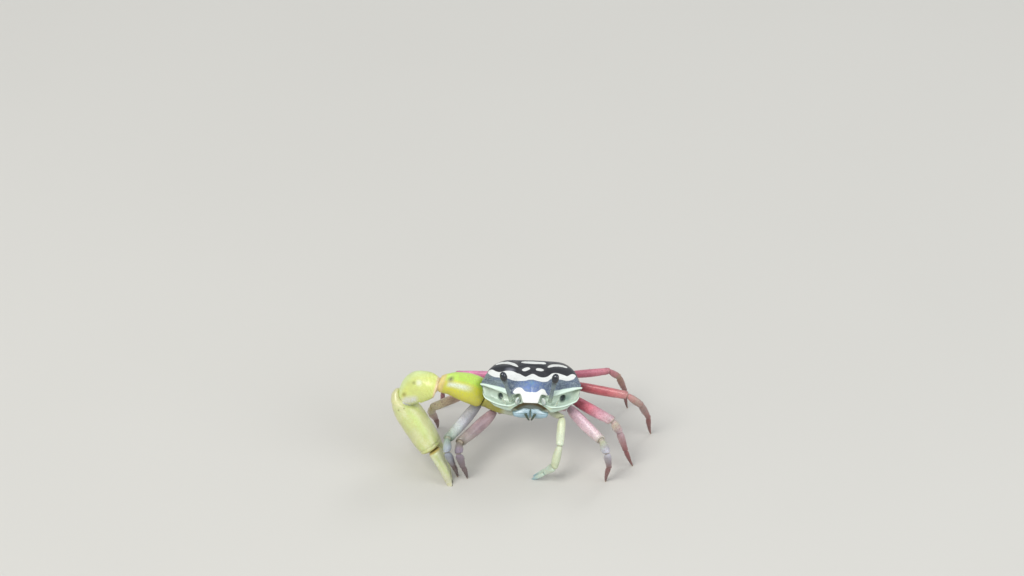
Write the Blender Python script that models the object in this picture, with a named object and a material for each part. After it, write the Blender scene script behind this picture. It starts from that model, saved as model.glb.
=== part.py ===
"""Male fiddler crab, life size, standing with its enlarged right claw held out to the side and its tip on the floor.

Axes: +X is the crab's left, -Y is the way it faces, +Z is up. Lengths in this file are millimetres until a mesh is made.
The shell and what it carries are modelled level and then pitched, rolled and turned together as the body.
"""

import math

import bmesh
import bpy
from mathutils import Matrix, Vector

MM = 0.001
GAP = 0.3
HALF_GAP = GAP / 2

# Driving sizes of the body, in millimetres
HALF_WIDTH = 8.85
SHELL_TOP = 17.75
REAR_Y = 5.45
REAR_HALF_WIDTH = 4.4
FRONT_TIP_Y = -5.95
LOBE_HALF_WIDTH = 1.4
LOBE_BASE_HALF_WIDTH = 3.2
CORNER_FRONT_Y = -3.4
CORNER_REAR_Y = -2.9
SHELL_FLOOR = 12.6
MOUTH_HALF_WIDTH = 3.5
MOUTH_BACK_Y = -4.3
MAXILLIPED_TOP = 13.2
MAXILLIPED_FOOT = 11.0

# How the body is held
BODY_PIVOT = Vector((0.0, 0.0, 14.0))
BODY_PITCH = math.radians(-6.0)
BODY_ROLL = math.radians(0.8)
BODY_YAW = math.radians(-2.5)

# Joint places of each walking leg above the floor: root, merus start, knee, wrist, ankle and foot
LEG_JOINTS = {
    "leg_2_left": ((4.6, -1.3, 11.4), (6.5, -1.5, 11.1), (12.5, -7.4, 8.2), (13.4, -10.6, 7.9), (13.8, -9.4, 3.8),
                   (13.2, -8.9, 0.0)),
    "leg_3_left": ((4.8, 0.6, 11.4), (7.0, 0.5, 11.6), (14.4, -6.0, 11.6), (15.6, -5.6, 8.9), (16.8, -4.9, 4.0),
                   (18.1, -4.5, 0.0)),
    "leg_4_left": ((4.8, 2.6, 11.7), (7.3, 3.0, 12.6), (17.1, 0.3, 12.4), (19.6, 0.9, 9.7), (21.0, 3.4, 4.8),
                   (21.5, 4.6, 0.0)),
    "leg_5_left": ((4.0, 4.2, 11.1), (6.5, 5.9, 12.6), (13.9, 8.0, 11.8), (15.7, 9.6, 9.2), (16.9, 11.1, 4.8),
                   (17.4, 12.0, 0.0)),
    "leg_2_right": ((-4.6, -1.1, 10.8), (-6.4, -1.2, 10.1), (-12.9, -6.8, 7.2), (-13.0, -9.9, 7.2),
                    (-12.3, -9.1, 3.7), (-11.5, -8.0, 0.0)),
    "leg_3_right": ((-4.8, 0.6, 11.2), (-8.9, 0.9, 11.0), (-15.0, -7.2, 8.4), (-15.1, -10.3, 7.9),
                    (-14.0, -9.0, 3.9), (-13.2, -7.6, 0.0)),
    "leg_4_right": ((-4.8, 2.6, 11.7), (-8.4, 3.2, 12.4), (-17.7, -0.4, 10.2), (-18.0, 1.6, 7.4),
                    (-17.3, 4.6, 3.6), (-16.9, 6.3, 0.0)),
    "leg_5_right": ((-4.0, 4.2, 11.1), (-6.5, 5.9, 12.6), (-13.4, 7.9, 11.2), (-15.0, 9.4, 8.8),
                    (-16.0, 10.9, 4.5), (-16.5, 11.8, 0.0)),
}
# Greatest depth and thickness of the merus, carpus, propodus and dactyl of each pair of walking legs
LEG_SIZES = {
    2: ((2.55, 1.9), (1.75, 1.5), (1.55, 1.25), (1.0, 0.8)),
    3: ((2.5, 1.9), (1.75, 1.5), (1.55, 1.25), (1.0, 0.8)),
    4: ((2.2, 1.65), (1.6, 1.3), (1.4, 1.15), (0.95, 0.75)),
    5: ((1.75, 1.35), (1.3, 1.1), (1.2, 1.0), (0.85, 0.7)),
}
LEG_PARTS = ("merus", "carpus", "propodus", "dactyl")
# How each leg part swells along its length: (share of the length, share of the depth, share of the thickness)
SWELL = {
    "merus": ((0.0, 0.5, 0.75), (0.15, 0.82, 0.95), (0.45, 1.0, 1.0), (0.85, 0.84, 0.96), (1.0, 0.68, 0.85)),
    "carpus": ((0.0, 0.68, 0.78), (0.35, 0.9, 0.95), (0.75, 1.0, 1.0), (1.0, 0.84, 0.85)),
    "propodus": ((0.0, 0.84, 0.84), (0.25, 1.0, 1.0), (0.7, 0.84, 0.84), (1.0, 0.7, 0.72)),
    "dactyl": ((0.0, 0.9, 0.9), (0.2, 1.0, 1.0), (0.6, 0.68, 0.7), (1.0, 0.42, 0.5)),
    "coxa": ((0.0, 0.75, 0.8), (0.5, 1.0, 1.0), (1.0, 0.8, 0.8)),
}
COXA_DEPTH, COXA_THICKNESS = 2.0, 1.5
CLAW_COXA_DEPTH, SMALL_COXA_DEPTH = 2.6, 1.5

# Joint places of the great claw's arm, and the sizes of its pieces
CLAW_ROOT = (-4.7, -3.2, 11.6)
CLAW_MERUS_START = (-8.9, -1.4, 12.6)
CLAW_ELBOW = (-15.5, -3.9, 18.4)
CLAW_HEEL = (-23.8, -4.5, 15.0)
CLAW_KNUCKLE = (-17.9, -8.7, 6.7)
CLAW_ROLL = math.radians(8.0)
VIEW_SIDE = Vector((0.0, 0.788, -0.616))
PALM_DEPTH = 6.6
PALM_THICKNESS = 4.9
WRIST_DROP = 2.2
WRIST_SHIFT = Vector((2.0, 0.0, -0.2))
FINGER_REACH = 7.7
FINGER_DROP = 2.3

# Joint places of the small claw's arm
SMALL_ROOT = (4.7, -3.0, 11.6)
SMALL_MERUS_START = (5.4, -4.6, 11.2)
SMALL_ELBOW = (5.0, -8.0, 7.5)
SMALL_WRIST = (4.0, -9.6, 4.0)
SMALL_KNUCKLE = (2.4, -8.8, 2.2)
SMALL_TIP = (0.4, -7.8, 0.0)

# Eyes and feelers, placed on the level body
STALK_FOOT = Vector((3.45, -5.75, 15.2))
EYE_MIDDLE = Vector((4.6, -5.35, 19.9))
STALK_WIDTH = 1.0
EYE_WIDTH, EYE_HEIGHT = 1.25, 1.95
# Both eyes lean this far to the crab's right
EYE_LEAN = Vector((-0.3, 0.0, 0.0))

# Smoothness of the solids
RING_POINTS = 10
CLAW_RING_POINTS = 16

SHELL_BLUE = (0.055, 0.085, 0.12)
PALE_MINT = (0.62, 0.78, 0.66)
CLAW_YELLOW = (0.72, 0.74, 0.12)
LEG_PINK = (0.62, 0.28, 0.27)
EYE_BLACK = (0.01, 0.012, 0.015)


def clear_scene():
    for old in list(bpy.data.objects):
        bpy.data.objects.remove(old, do_unlink=True)


def material(name, colour, roughness=0.35):
    made = bpy.data.materials.new(name)
    made.use_nodes = True
    shader = made.node_tree.nodes["Principled BSDF"]
    shader.inputs["Base Color"].default_value = (*colour, 1.0)
    shader.inputs["Roughness"].default_value = roughness
    shader.inputs["Metallic"].default_value = 0.0
    return made


def solid(name, points, faces, colour):
    """One closed object from points in millimetres, its faces turned outward."""
    mesh = bpy.data.meshes.new(name)
    mesh.from_pydata([Vector(p) * MM for p in points], [], faces)
    shaped = bmesh.new()
    shaped.from_mesh(mesh)
    bmesh.ops.recalc_face_normals(shaped, faces=shaped.faces)
    shaped.to_mesh(mesh)
    shaped.free()
    mesh.shade_smooth()
    mesh.set_sharp_from_angle(angle=math.radians(40))
    made = bpy.data.objects.new(name, mesh)
    bpy.context.scene.collection.objects.link(made)
    made.data.materials.append(material(name, colour))
    return made


def loft(rings):
    """Points and faces of a closed body through rings of equal count, with a flat face at each end."""
    count = len(rings[0])
    points = [p for ring in rings for p in ring]
    faces = []
    for lower in range(len(rings) - 1):
        for k in range(count):
            after = (k + 1) % count
            base = lower * count
            faces.append((base + k, base + after, base + count + after, base + count + k))
    faces.append(tuple(reversed(range(count))))
    faces.append(tuple(range((len(rings) - 1) * count, len(rings) * count)))
    return points, faces


def ramp(value, low, high):
    """0 below low, 1 above high, eased between."""
    share = min(1.0, max(0.0, (value - low) / (high - low)))
    return share * share * (3.0 - 2.0 * share)


def along(stops, share):
    """The values of a table of stops, eased between neighbours."""
    for before, after in zip(stops, stops[1:]):
        if share <= after[0]:
            mix = (share - before[0]) / (after[0] - before[0])
            mix = mix * mix * (3.0 - 2.0 * mix)
            return [a + (b - a) * mix for a, b in zip(before[1:], after[1:])]
    return list(stops[-1][1:])


def square_to(vector, axis):
    """The part of a vector that is square to an axis, at unit length."""
    return (vector - axis * vector.dot(axis)).normalized()


def mitre(before, here, after):
    """The direction square to the cut that two meeting pieces share."""
    return ((here - before).normalized() + (after - here).normalized()).normalized()


def bar(start, end, start_cut, end_cut, depth_way, size, swell, count=RING_POINTS, steps=7, bow=0.0):
    """Rings of a swelling bar whose ends are slid along it onto two cutting planes, each a (place, normal).

    A swell is a list of stops: share of the length, shares of the depth and thickness, and of the depth in lift.
    """
    run = end - start
    way = run.normalized()
    depth_way = square_to(depth_way, way)
    side_way = way.cross(depth_way)
    depth, thickness = size
    rings = []
    for step in range(steps + 1):
        share = step / steps
        shares = along(swell, share)
        lift = bow * 4.0 * share * (1.0 - share) + sum(shares[2:]) * depth
        ring = []
        for k in range(count):
            angle = math.tau * k / count
            offset = depth_way * (math.cos(angle) * depth * shares[0] / 2 + lift)
            offset += side_way * math.sin(angle) * thickness * shares[1] / 2
            near, far = start + offset, end + offset
            near += way * ((start_cut[0] - near).dot(start_cut[1]) / way.dot(start_cut[1]))
            far += way * ((end_cut[0] - far).dot(end_cut[1]) / way.dot(end_cut[1]))
            ring.append(near.lerp(far, share))
        rings.append(ring)
    return rings


def chain(joints):
    """The cutting plane at every joint of a chain: square at its ends and mitred between."""
    cuts = []
    for index, here in enumerate(joints):
        if index == 0:
            normal = (joints[1] - here).normalized()
        elif index == len(joints) - 1:
            normal = (here - joints[-2]).normalized()
        else:
            normal = mitre(joints[index - 1], here, joints[index + 1])
        cuts.append((here, normal))
    return cuts


def before_cut(cut):
    return cut[0] - cut[1] * HALF_GAP, cut[1]


def after_cut(cut):
    return cut[0] + cut[1] * HALF_GAP, cut[1]


def body_matrix():
    turn = Matrix.Rotation(BODY_YAW, 4, "Z") @ Matrix.Rotation(BODY_ROLL, 4, "Y") @ Matrix.Rotation(BODY_PITCH, 4, "X")
    return Matrix.Translation(BODY_PIVOT) @ turn @ Matrix.Translation(-BODY_PIVOT)


def on_body(points):
    held = body_matrix()
    return [held @ Vector(p) for p in points]


def union(name, pieces, colour):
    """Pieces joined by one Boolean union, kept as their largest closed surface."""
    group = bpy.data.collections.new(name + "_pieces")
    bpy.context.scene.collection.children.link(group)
    base = pieces[0]
    for piece in pieces[1:]:
        group.objects.link(piece)
    joined = base.modifiers.new("union", "BOOLEAN")
    joined.operation = "UNION"
    joined.operand_type = "COLLECTION"
    joined.collection = group
    joined.solver = "EXACT"
    return applied(name, base, pieces[1:], group, colour)


def applied(name, base, spent, group, colour):
    """A base object with its modifiers applied, and the objects that they used removed."""
    evaluated = base.evaluated_get(bpy.context.evaluated_depsgraph_get())
    mesh = bpy.data.meshes.new_from_object(evaluated)
    mesh.name = name
    keep_largest(mesh)
    for piece in spent:
        bpy.data.objects.remove(piece, do_unlink=True)
    bpy.data.collections.remove(group)
    bpy.data.objects.remove(base, do_unlink=True)
    mesh.materials.clear()
    mesh.materials.append(material(name, colour))
    made = bpy.data.objects.new(name, mesh)
    bpy.context.scene.collection.objects.link(made)
    return made


def keep_largest(mesh):
    """Leave only the connected surface that encloses most."""
    shaped = bmesh.new()
    shaped.from_mesh(mesh)
    unseen = set(shaped.faces)
    groups = []
    while unseen:
        waiting = [unseen.pop()]
        found = list(waiting)
        while waiting:
            for edge in waiting.pop().edges:
                for face in edge.link_faces:
                    if face in unseen:
                        unseen.remove(face)
                        waiting.append(face)
                        found.append(face)
        groups.append(found)
    largest = max(groups, key=lambda group: sum(face.calc_area() for face in group))
    spare = [face for group in groups if group is not largest for face in group]
    bmesh.ops.delete(shaped, geom=spare, context="FACES")
    shaped.to_mesh(mesh)
    shaped.free()


def flat_at_floor(made):
    """Cut an object off level with the floor and close the cut."""
    shaped = bmesh.new()
    shaped.from_mesh(made.data)
    geometry = list(shaped.verts) + list(shaped.edges) + list(shaped.faces)
    cut = bmesh.ops.bisect_plane(shaped, geom=geometry, dist=1e-8, plane_co=(0, 0, 0), plane_no=(0, 0, -1),
                                 clear_outer=True)
    rim = [item for item in cut["geom_cut"] if isinstance(item, bmesh.types.BMEdge)]
    bmesh.ops.contextual_create(shaped, geom=rim)
    bmesh.ops.recalc_face_normals(shaped, faces=shaped.faces)
    shaped.to_mesh(made.data)
    shaped.free()


# The shell
def front_y(across):
    """How far forward the shell's front edge reaches at a distance from the midline."""
    if across > LOBE_BASE_HALF_WIDTH:
        share = (across - LOBE_BASE_HALF_WIDTH) / (HALF_WIDTH - LOBE_BASE_HALF_WIDTH)
        return -5.0 + (CORNER_FRONT_Y + 5.0) * share**1.3
    return FRONT_TIP_Y + (-5.0 - FRONT_TIP_Y) * ramp(across, LOBE_HALF_WIDTH, LOBE_BASE_HALF_WIDTH)


def rear_y(across):
    if across <= REAR_HALF_WIDTH:
        return REAR_Y - 0.12 * (1.0 - (across / REAR_HALF_WIDTH) ** 2)
    share = (across - REAR_HALF_WIDTH) / (HALF_WIDTH - REAR_HALF_WIDTH)
    return CORNER_REAR_Y + (REAR_Y - CORNER_REAR_Y) * max(0.0, 1.0 - share**1.9) ** 0.74


def shell_height(across, y):
    """Height of the shell's upper face."""
    height = SHELL_TOP - 0.55 * (across / 9.0) ** 2
    height -= 0.85 * max(0.0, (y - 0.5) / 5.0) ** 2
    middle = 2.7 * max(0.0, (-2.8 - y) / 3.1) ** 2
    outer = 1.1 * max(0.0, (-2.6 - y) / 2.3) ** 2
    return height - middle - (outer - middle) * ramp(across, LOBE_HALF_WIDTH, LOBE_BASE_HALF_WIDTH)


def brow_y(across):
    """How far forward the lower rim of the orbit reaches."""
    return -5.95 + 1.7 * (max(0.0, across - 1.5) / 7.3) ** 1.8


def brow_height(across):
    outer = max(0.0, (across - 5.0) / 4.05)
    inner = max(0.0, (5.0 - across) / 3.5)
    return 14.1 + 1.7 * outer**2 + 0.25 * inner**2


def shell_floor(across, y):
    """Height of the shell's lower edge: low beside the mouth, and arched over the roots of the legs."""
    front = 12.15 + 0.45 * max(0.0, across - 4.0)
    rear = SHELL_FLOOR + 0.9 * ramp(across, 3.4, 5.0) + 0.35 * max(0.0, across - 5.0) ** 1.35
    rear += 0.8 * ramp(y, 0.8, 3.6) * ramp(across, 1.8, 3.4)
    return front + (rear - front) * ramp(y, -5.0, -4.3)


def shell_profile(x):
    """One lengthwise section of the shell: over its back, down its face with the orbit, and under it."""
    across = abs(x)
    front, rear = front_y(across), rear_y(across)
    ring = []
    top_steps = 13
    for step in range(top_steps + 1):
        y = rear + (front - rear) * step / top_steps
        ring.append((x, y, shell_height(across, y)))
    edge = ring[-1][2]
    recess = ramp(across, 1.5, 3.4) * (1.0 - 0.75 * ramp(across, 7.4, HALF_WIDTH))
    rim_y, rim = brow_y(across), brow_height(across)
    rim_y = min(rim_y, rear - 0.35)
    rim = min(rim, edge - 0.5)
    depth = 1.25 * recess
    lip = min(0.4, (edge - rim) * 0.3)
    ring.append((x, front + 0.1, edge - lip))
    ring.append((x, front + 0.1 + depth, edge - lip - 0.1))
    ring.append((x, (front + rim_y) / 2 + 0.1 + depth, (edge + rim) / 2 - lip * 0.5))
    ring.append((x, rim_y + 0.25 + depth * 0.8, rim + 0.05))
    ring.append((x, rim_y + 0.02, rim + 0.04))
    ring.append((x, rim_y, rim - 0.25))
    floor = min(shell_floor(across, rim_y), rim - 0.45)
    fall = rim - 0.25 - floor
    back = min(1.5, (rear - rim_y) * 0.4)
    ring.append((x, rim_y + 0.08 * back, rim - 0.25 - 0.35 * fall))
    ring.append((x, rim_y + 0.32 * back, rim - 0.25 - 0.7 * fall))
    under = min(1.0, (rear - rim_y) * 0.3)
    for step in range(6):
        y = rim_y + back + (rear - under - rim_y - back) * step / 5
        floor = min(shell_floor(across, y), rim - 0.3)
        ring.append((x, y, floor))
    top = ring[0][2]
    ring.append((x, rear - 0.4 * under, floor + 0.45 * (top - floor)))
    ring.append((x, rear - 0.05 * under, floor + 0.82 * (top - floor)))
    return ring


def shell_stations():
    """Where the shell's sections stand, closer together towards its corners."""
    half = [0.0]
    while half[-1] < HALF_WIDTH - 0.5:
        half.append(half[-1] + (0.42 if half[-1] < 7.6 else 0.3))
    half[-1] = HALF_WIDTH - 0.28
    half += [HALF_WIDTH - 0.12, HALF_WIDTH]
    return [-x for x in reversed(half[1:])] + half


def mouth_cutter():
    """An arched block that opens the shell's underside for the mouthparts."""
    arch = []
    steps = 12
    for step in range(steps + 1):
        angle = math.pi * step / steps
        arch.append((MOUTH_HALF_WIDTH * math.cos(angle), 13.25 + 1.0 * math.sin(angle)))
    arch = [(MOUTH_HALF_WIDTH, 11.0)] + arch + [(-MOUTH_HALF_WIDTH, 11.0)]
    rings = [on_body([(x, y, z) for x, z in arch]) for y in (-8.0, MOUTH_BACK_Y)]
    return solid("mouth_cutter", *loft(rings), PALE_MINT)


def carapace():
    rings = [on_body(shell_profile(x)) for x in shell_stations()]
    shell = solid("shell", *loft(rings), SHELL_BLUE)
    cutter = mouth_cutter()
    group = bpy.data.collections.new("shell_cutters")
    bpy.context.scene.collection.children.link(group)
    group.objects.link(cutter)
    cut = shell.modifiers.new("mouth", "BOOLEAN")
    cut.operation = "DIFFERENCE"
    cut.operand_type = "COLLECTION"
    cut.collection = group
    cut.solver = "EXACT"
    return applied("carapace", shell, [cutter], group, SHELL_BLUE)


# The underside
def sternum():
    stops = ((0.0, 2.6, 1.2), (0.25, 4.3, 1.7), (0.6, 4.8, 1.8), (0.85, 4.2, 1.7), (1.0, 3.0, 1.3))
    front, rear = -3.9, 4.6
    top = SHELL_FLOOR - GAP
    rings = []
    for step in range(11):
        share = step / 10
        half, depth = along(stops, share)
        ring = []
        for k in range(CLAW_RING_POINTS // 2 + 1):
            angle = math.pi * k / (CLAW_RING_POINTS // 2)
            ring.append((half * math.cos(angle), front + (rear - front) * share, top - depth * math.sin(angle) ** 0.7))
        rings.append(on_body(ring))
    pieces = [solid("plate", *loft(rings), PALE_MINT)]
    for name, joints in LEG_JOINTS.items():
        pieces.append(coxa(name + "_coxa", [Vector(p) for p in joints]))
    pieces.append(coxa("claw_coxa", [Vector(p) for p in (CLAW_ROOT, CLAW_MERUS_START, CLAW_ELBOW)], CLAW_COXA_DEPTH))
    pieces.append(coxa("small_coxa", [Vector(p) for p in (SMALL_ROOT, SMALL_MERUS_START, SMALL_ELBOW)], SMALL_COXA_DEPTH))
    return union("sternum", pieces, PALE_MINT)


def coxa(name, joints, depth=COXA_DEPTH):
    """The short root of a limb, from inside the underside out to the cut where its merus begins."""
    cuts = chain(joints)
    middle = Vector((0.0, joints[0].y * 0.8, 10.9))
    start = joints[0].lerp(middle, 0.35)
    run = (joints[1] - start).normalized()
    size = (depth, COXA_THICKNESS * depth / COXA_DEPTH)
    rings = bar(start, joints[1], (start, run), before_cut(cuts[1]), Vector((0, 0, 1)), size, SWELL["coxa"], steps=5)
    return solid(name, *loft(rings), PALE_MINT)


def abdomen():
    """The narrow tail flap of a male, folded forward under the body."""
    path = [(5.65, 13.3), (5.85, 12.2), (5.5, 11.0), (4.4, 10.15), (2.6, 9.8), (0.6, 9.75), (-1.4, 9.8), (-2.6, 10.0)]
    half = [1.7, 2.0, 2.1, 2.0, 1.8, 1.5, 1.15, 0.7]
    thickness = 0.6
    rings = []
    for index, (y, z) in enumerate(path):
        before, after = path[max(0, index - 1)], path[min(len(path) - 1, index + 1)]
        way = Vector((0.0, after[0] - before[0], after[1] - before[1])).normalized()
        out = Vector((0.0, way.z, -way.y))
        ring = []
        for k in range(RING_POINTS):
            angle = math.tau * k / RING_POINTS
            side = math.copysign(abs(math.cos(angle)) ** 0.7, math.cos(angle))
            ring.append(Vector((half[index] * side, y, z)) + out * (math.sin(angle) * thickness / 2))
        rings.append(on_body(ring))
    return solid("abdomen", *loft(rings), PALE_MINT)


def maxilliped(side):
    """One of the two plates that close the mouth."""
    name = "maxilliped_" + side
    sign = 1.0 if side == "left" else -1.0
    inner, outer = HALF_GAP, MOUTH_HALF_WIDTH - GAP
    rings = []
    steps = 8
    for step in range(steps + 1):
        share = step / steps
        z = MAXILLIPED_FOOT + (MAXILLIPED_TOP - MAXILLIPED_FOOT) * share
        width = (outer - inner) * (0.62 + 0.38 * math.sin(math.pi * min(1.0, 0.18 + share * 0.55)))
        width *= 1.0 - 0.12 * ramp(share, 0.85, 1.0)
        middle = inner + width / 2
        front = -5.05 - 0.65 * math.sin(math.pi * (0.15 + 0.6 * share))
        back = MOUTH_BACK_Y - GAP
        ring = []
        for k in range(RING_POINTS):
            angle = math.tau * k / RING_POINTS
            x = middle + width / 2 * math.copysign(abs(math.cos(angle)) ** 0.6, math.cos(angle))
            y = (front + back) / 2 + (back - front) / 2 * math.copysign(abs(math.sin(angle)) ** 0.8, math.sin(angle))
            ring.append((sign * x, y, z))
        rings.append(on_body(ring))
    return solid(name, *loft(rings), PALE_MINT)


# Eyes and feelers
def eyes(side):
    sign = 1.0 if side == "left" else -1.0
    mirrored = Vector((sign, 1.0, 1.0))
    foot, middle = STALK_FOOT * mirrored, EYE_MIDDLE * mirrored + EYE_LEAN
    way = (middle - foot).normalized()
    eye_foot = middle - way * (EYE_HEIGHT / 2)
    neck = eye_foot - way * GAP
    swell = ((0.0, 0.8, 0.8), (0.5, 0.72, 0.72), (0.85, 0.85, 0.85), (1.0, 1.05, 1.05))
    forward = Vector((0, -1, 0))
    stalk = bar(foot, neck, (foot, way), (neck, way), forward, (STALK_WIDTH, STALK_WIDTH), swell)
    solid("eyestalk_" + side, *loft([on_body(ring) for ring in stalk]), SHELL_BLUE)
    top = middle + way * (EYE_HEIGHT / 2)
    oval = []
    for step in range(11):
        share = step / 10
        width = math.sqrt(1.0 - (0.97 * (2.0 * share - 1.0) ** 2) ** 1.2)
        oval.append((share, width, width))
    eye = bar(eye_foot, top, (eye_foot, way), (top, way), forward, (EYE_WIDTH, EYE_WIDTH), oval, steps=10)
    solid("eye_" + side, *loft([on_body(ring) for ring in eye]), EYE_BLACK)


def feelers(side):
    """The antennule, folded below the front, and the antenna, lying along the orbit."""
    sign = 1.0 if side == "left" else -1.0
    mirrored = Vector((sign, 1.0, 1.0))
    pieces = (("antennule_", Vector((2.25, -6.3, 14.8)), Vector((2.6, -6.4, 15.9)), 0.6),
              ("antenna_", Vector((4.5, -5.95, 14.8)), Vector((5.1, -6.5, 16.3)), 0.5))
    stops = ((0.0, 1.0, 1.0), (0.5, 1.0, 1.0), (1.0, 0.6, 0.6))
    for prefix, start, end, width in pieces:
        start, end = start * mirrored, end * mirrored
        way = (end - start).normalized()
        rings = bar(start, end, (start, way), (end, way), Vector((0, -1, 0)), (width, width), stops, count=8, steps=4)
        solid(prefix + side, *loft([on_body(ring) for ring in rings]), PALE_MINT)


# Walking legs
def walking_leg(name, places):
    joints = [Vector(p) for p in places]
    cuts = chain(joints)
    cuts[-1] = (joints[-1], Vector((0, 0, -1)))
    bend = (joints[2] - joints[1]).cross(joints[5] - joints[2]).normalized()
    sizes = LEG_SIZES[int(name.split("_")[1])]
    for index, part in enumerate(LEG_PARTS):
        start, end = joints[index + 1], joints[index + 2]
        depth_way = bend.cross((end - start).normalized())
        end_cut = cuts[-1] if part == "dactyl" else before_cut(cuts[index + 2])
        start_cut = after_cut(cuts[index + 1])
        bow = 0.12 if part in ("merus", "dactyl") else 0.0
        rings = bar(start, end, start_cut, end_cut, depth_way, sizes[index], SWELL[part], bow=bow)
        solid(name + "_" + part, *loft(rings), LEG_PINK)


# The great claw
def claw_axes():
    """The palm's length, depth and thickness directions, its depth turned away from the face."""
    length_way = (Vector(CLAW_KNUCKLE) - Vector(CLAW_HEEL)).normalized()
    depth_way = square_to(VIEW_SIDE, length_way)
    side_way = length_way.cross(depth_way)
    depth_way = depth_way * math.cos(CLAW_ROLL) + side_way * math.sin(CLAW_ROLL)
    return length_way, depth_way, length_way.cross(depth_way)


def claw_wrist():
    length_way, depth_way, side_way = claw_axes()
    return Vector(CLAW_HEEL) + depth_way * WRIST_DROP


def claw_wrist_way():
    """The direction square to the cut between the carpus and the palm."""
    length_way, depth_way, side_way = claw_axes()
    return ((claw_wrist() - Vector(CLAW_ELBOW)).normalized() + length_way).normalized()


def claw_ring(reach, top, bottom, width, shift=0.0):
    """One section of the claw, in shares of the palm's thickness across.

    It stands at a reach along the palm, with its upper and lower edge measured from the palm's upper line.
    """
    length_way, depth_way, side_way = claw_axes()
    middle, half = (top + bottom) / 2, (bottom - top) / 2
    ring = []
    for k in range(CLAW_RING_POINTS):
        angle = math.tau * k / CLAW_RING_POINTS
        down = math.copysign(abs(math.cos(angle)) ** 0.9, math.cos(angle)) * half
        out = (math.copysign(abs(math.sin(angle)) ** 0.85, math.sin(angle)) * width / 2 + shift) * PALM_THICKNESS
        point = Vector(CLAW_HEEL) + length_way * reach + depth_way * (middle + down) + side_way * out
        short = (claw_wrist() + claw_wrist_way() * HALF_GAP - point).dot(claw_wrist_way())
        ring.append(point + length_way * max(0.0, short + reach * 0.05) / length_way.dot(claw_wrist_way()))
    return ring


def great_claw():
    palm = (Vector(CLAW_KNUCKLE) - Vector(CLAW_HEEL)).length
    tip = palm + FINGER_REACH
    # Stations of the palm and fixed finger: reach, upper edge, lower edge, width and shift across
    hand = [(-0.3, 0.9, 3.4, 0.43), (0.2, 0.45, 4.4, 0.64), (1.2, 0.12, 5.4, 0.84), (3.0, -0.12, 6.3, 0.98),
            (5.5, -0.25, PALM_DEPTH, 1.0), (8.0, -0.25, PALM_DEPTH, 0.98), (palm - 1.2, -0.12, PALM_DEPTH - 0.05, 0.92),
            (palm - 0.3, 0.05, PALM_DEPTH - 0.1, 0.84), (palm, 0.35, PALM_DEPTH - 0.12, 0.76),
            (palm + 0.2, 3.6, PALM_DEPTH - 0.15, 0.56, 0.08), (palm + 1.6, 3.95, PALM_DEPTH - 0.35, 0.45, 0.09),
            (palm + 3.4, 3.95, PALM_DEPTH - 0.9, 0.37, 0.06), (palm + 5.2, 3.6, PALM_DEPTH - 1.75, 0.29, -0.02),
            (palm + 6.6, 3.1, PALM_DEPTH - 2.75, 0.22, -0.1),
            (tip + 0.1, FINGER_DROP + 0.45, PALM_DEPTH - 3.4, 0.14, -0.16)]
    made = solid("claw_manus", *loft([claw_ring(*station) for station in hand]), CLAW_YELLOW)
    flat_at_floor(made)
    finger = [(palm + 1.5 * GAP, 0.35, 3.1, 0.48, 0.07), (palm + 0.9, 0.05, 3.2, 0.5, 0.07),
              (palm + 2.2, -0.05, 2.9, 0.45, 0.05), (palm + 3.8, 0.15, 2.65, 0.38, 0.01),
              (palm + 5.4, 0.6, 2.5, 0.31, -0.06), (palm + 6.8, 1.25, 2.45, 0.23, -0.13),
              (tip + 0.3, FINGER_DROP - 0.45, FINGER_DROP + 0.1, 0.13, -0.18)]
    made = solid("claw_dactyl", *loft([claw_ring(*station) for station in finger]), CLAW_YELLOW)
    flat_at_floor(made)
    claw_arm()


def claw_arm():
    length_way, depth_way, side_way = claw_axes()
    wrist = claw_wrist()
    joints = [Vector(CLAW_ROOT), Vector(CLAW_MERUS_START), Vector(CLAW_ELBOW), wrist]
    cuts = chain(joints)
    cuts[-1] = (wrist, claw_wrist_way())
    swell = ((0.0, 0.74, 0.66, 0.0), (0.15, 1.0, 0.92, 0.05), (0.35, 1.15, 1.0, 0.07), (0.6, 1.06, 1.0, 0.02),
             (0.85, 0.9, 0.95, 0.0), (1.0, 0.76, 0.8, 0.0))
    rings = bar(joints[1], joints[2], after_cut(cuts[1]), before_cut(cuts[2]), Vector((0.0, 0.6, 0.8)), (5.4, 3.8),
                swell, count=CLAW_RING_POINTS, steps=9)
    solid("claw_merus", *loft(rings), CLAW_YELLOW)
    round_swell = ((0.0, 0.66, 0.66), (0.15, 0.9, 0.9), (0.42, 1.0, 1.0), (0.75, 0.94, 0.9), (1.0, 0.5, 0.5))
    rings = bar(joints[2], wrist + WRIST_SHIFT, after_cut(cuts[2]), before_cut(cuts[3]), Vector((0, 0, 1)), (5.2, 5.0),
                round_swell, count=CLAW_RING_POINTS, bow=1.0)
    solid("claw_carpus", *loft(rings), CLAW_YELLOW)


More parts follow.
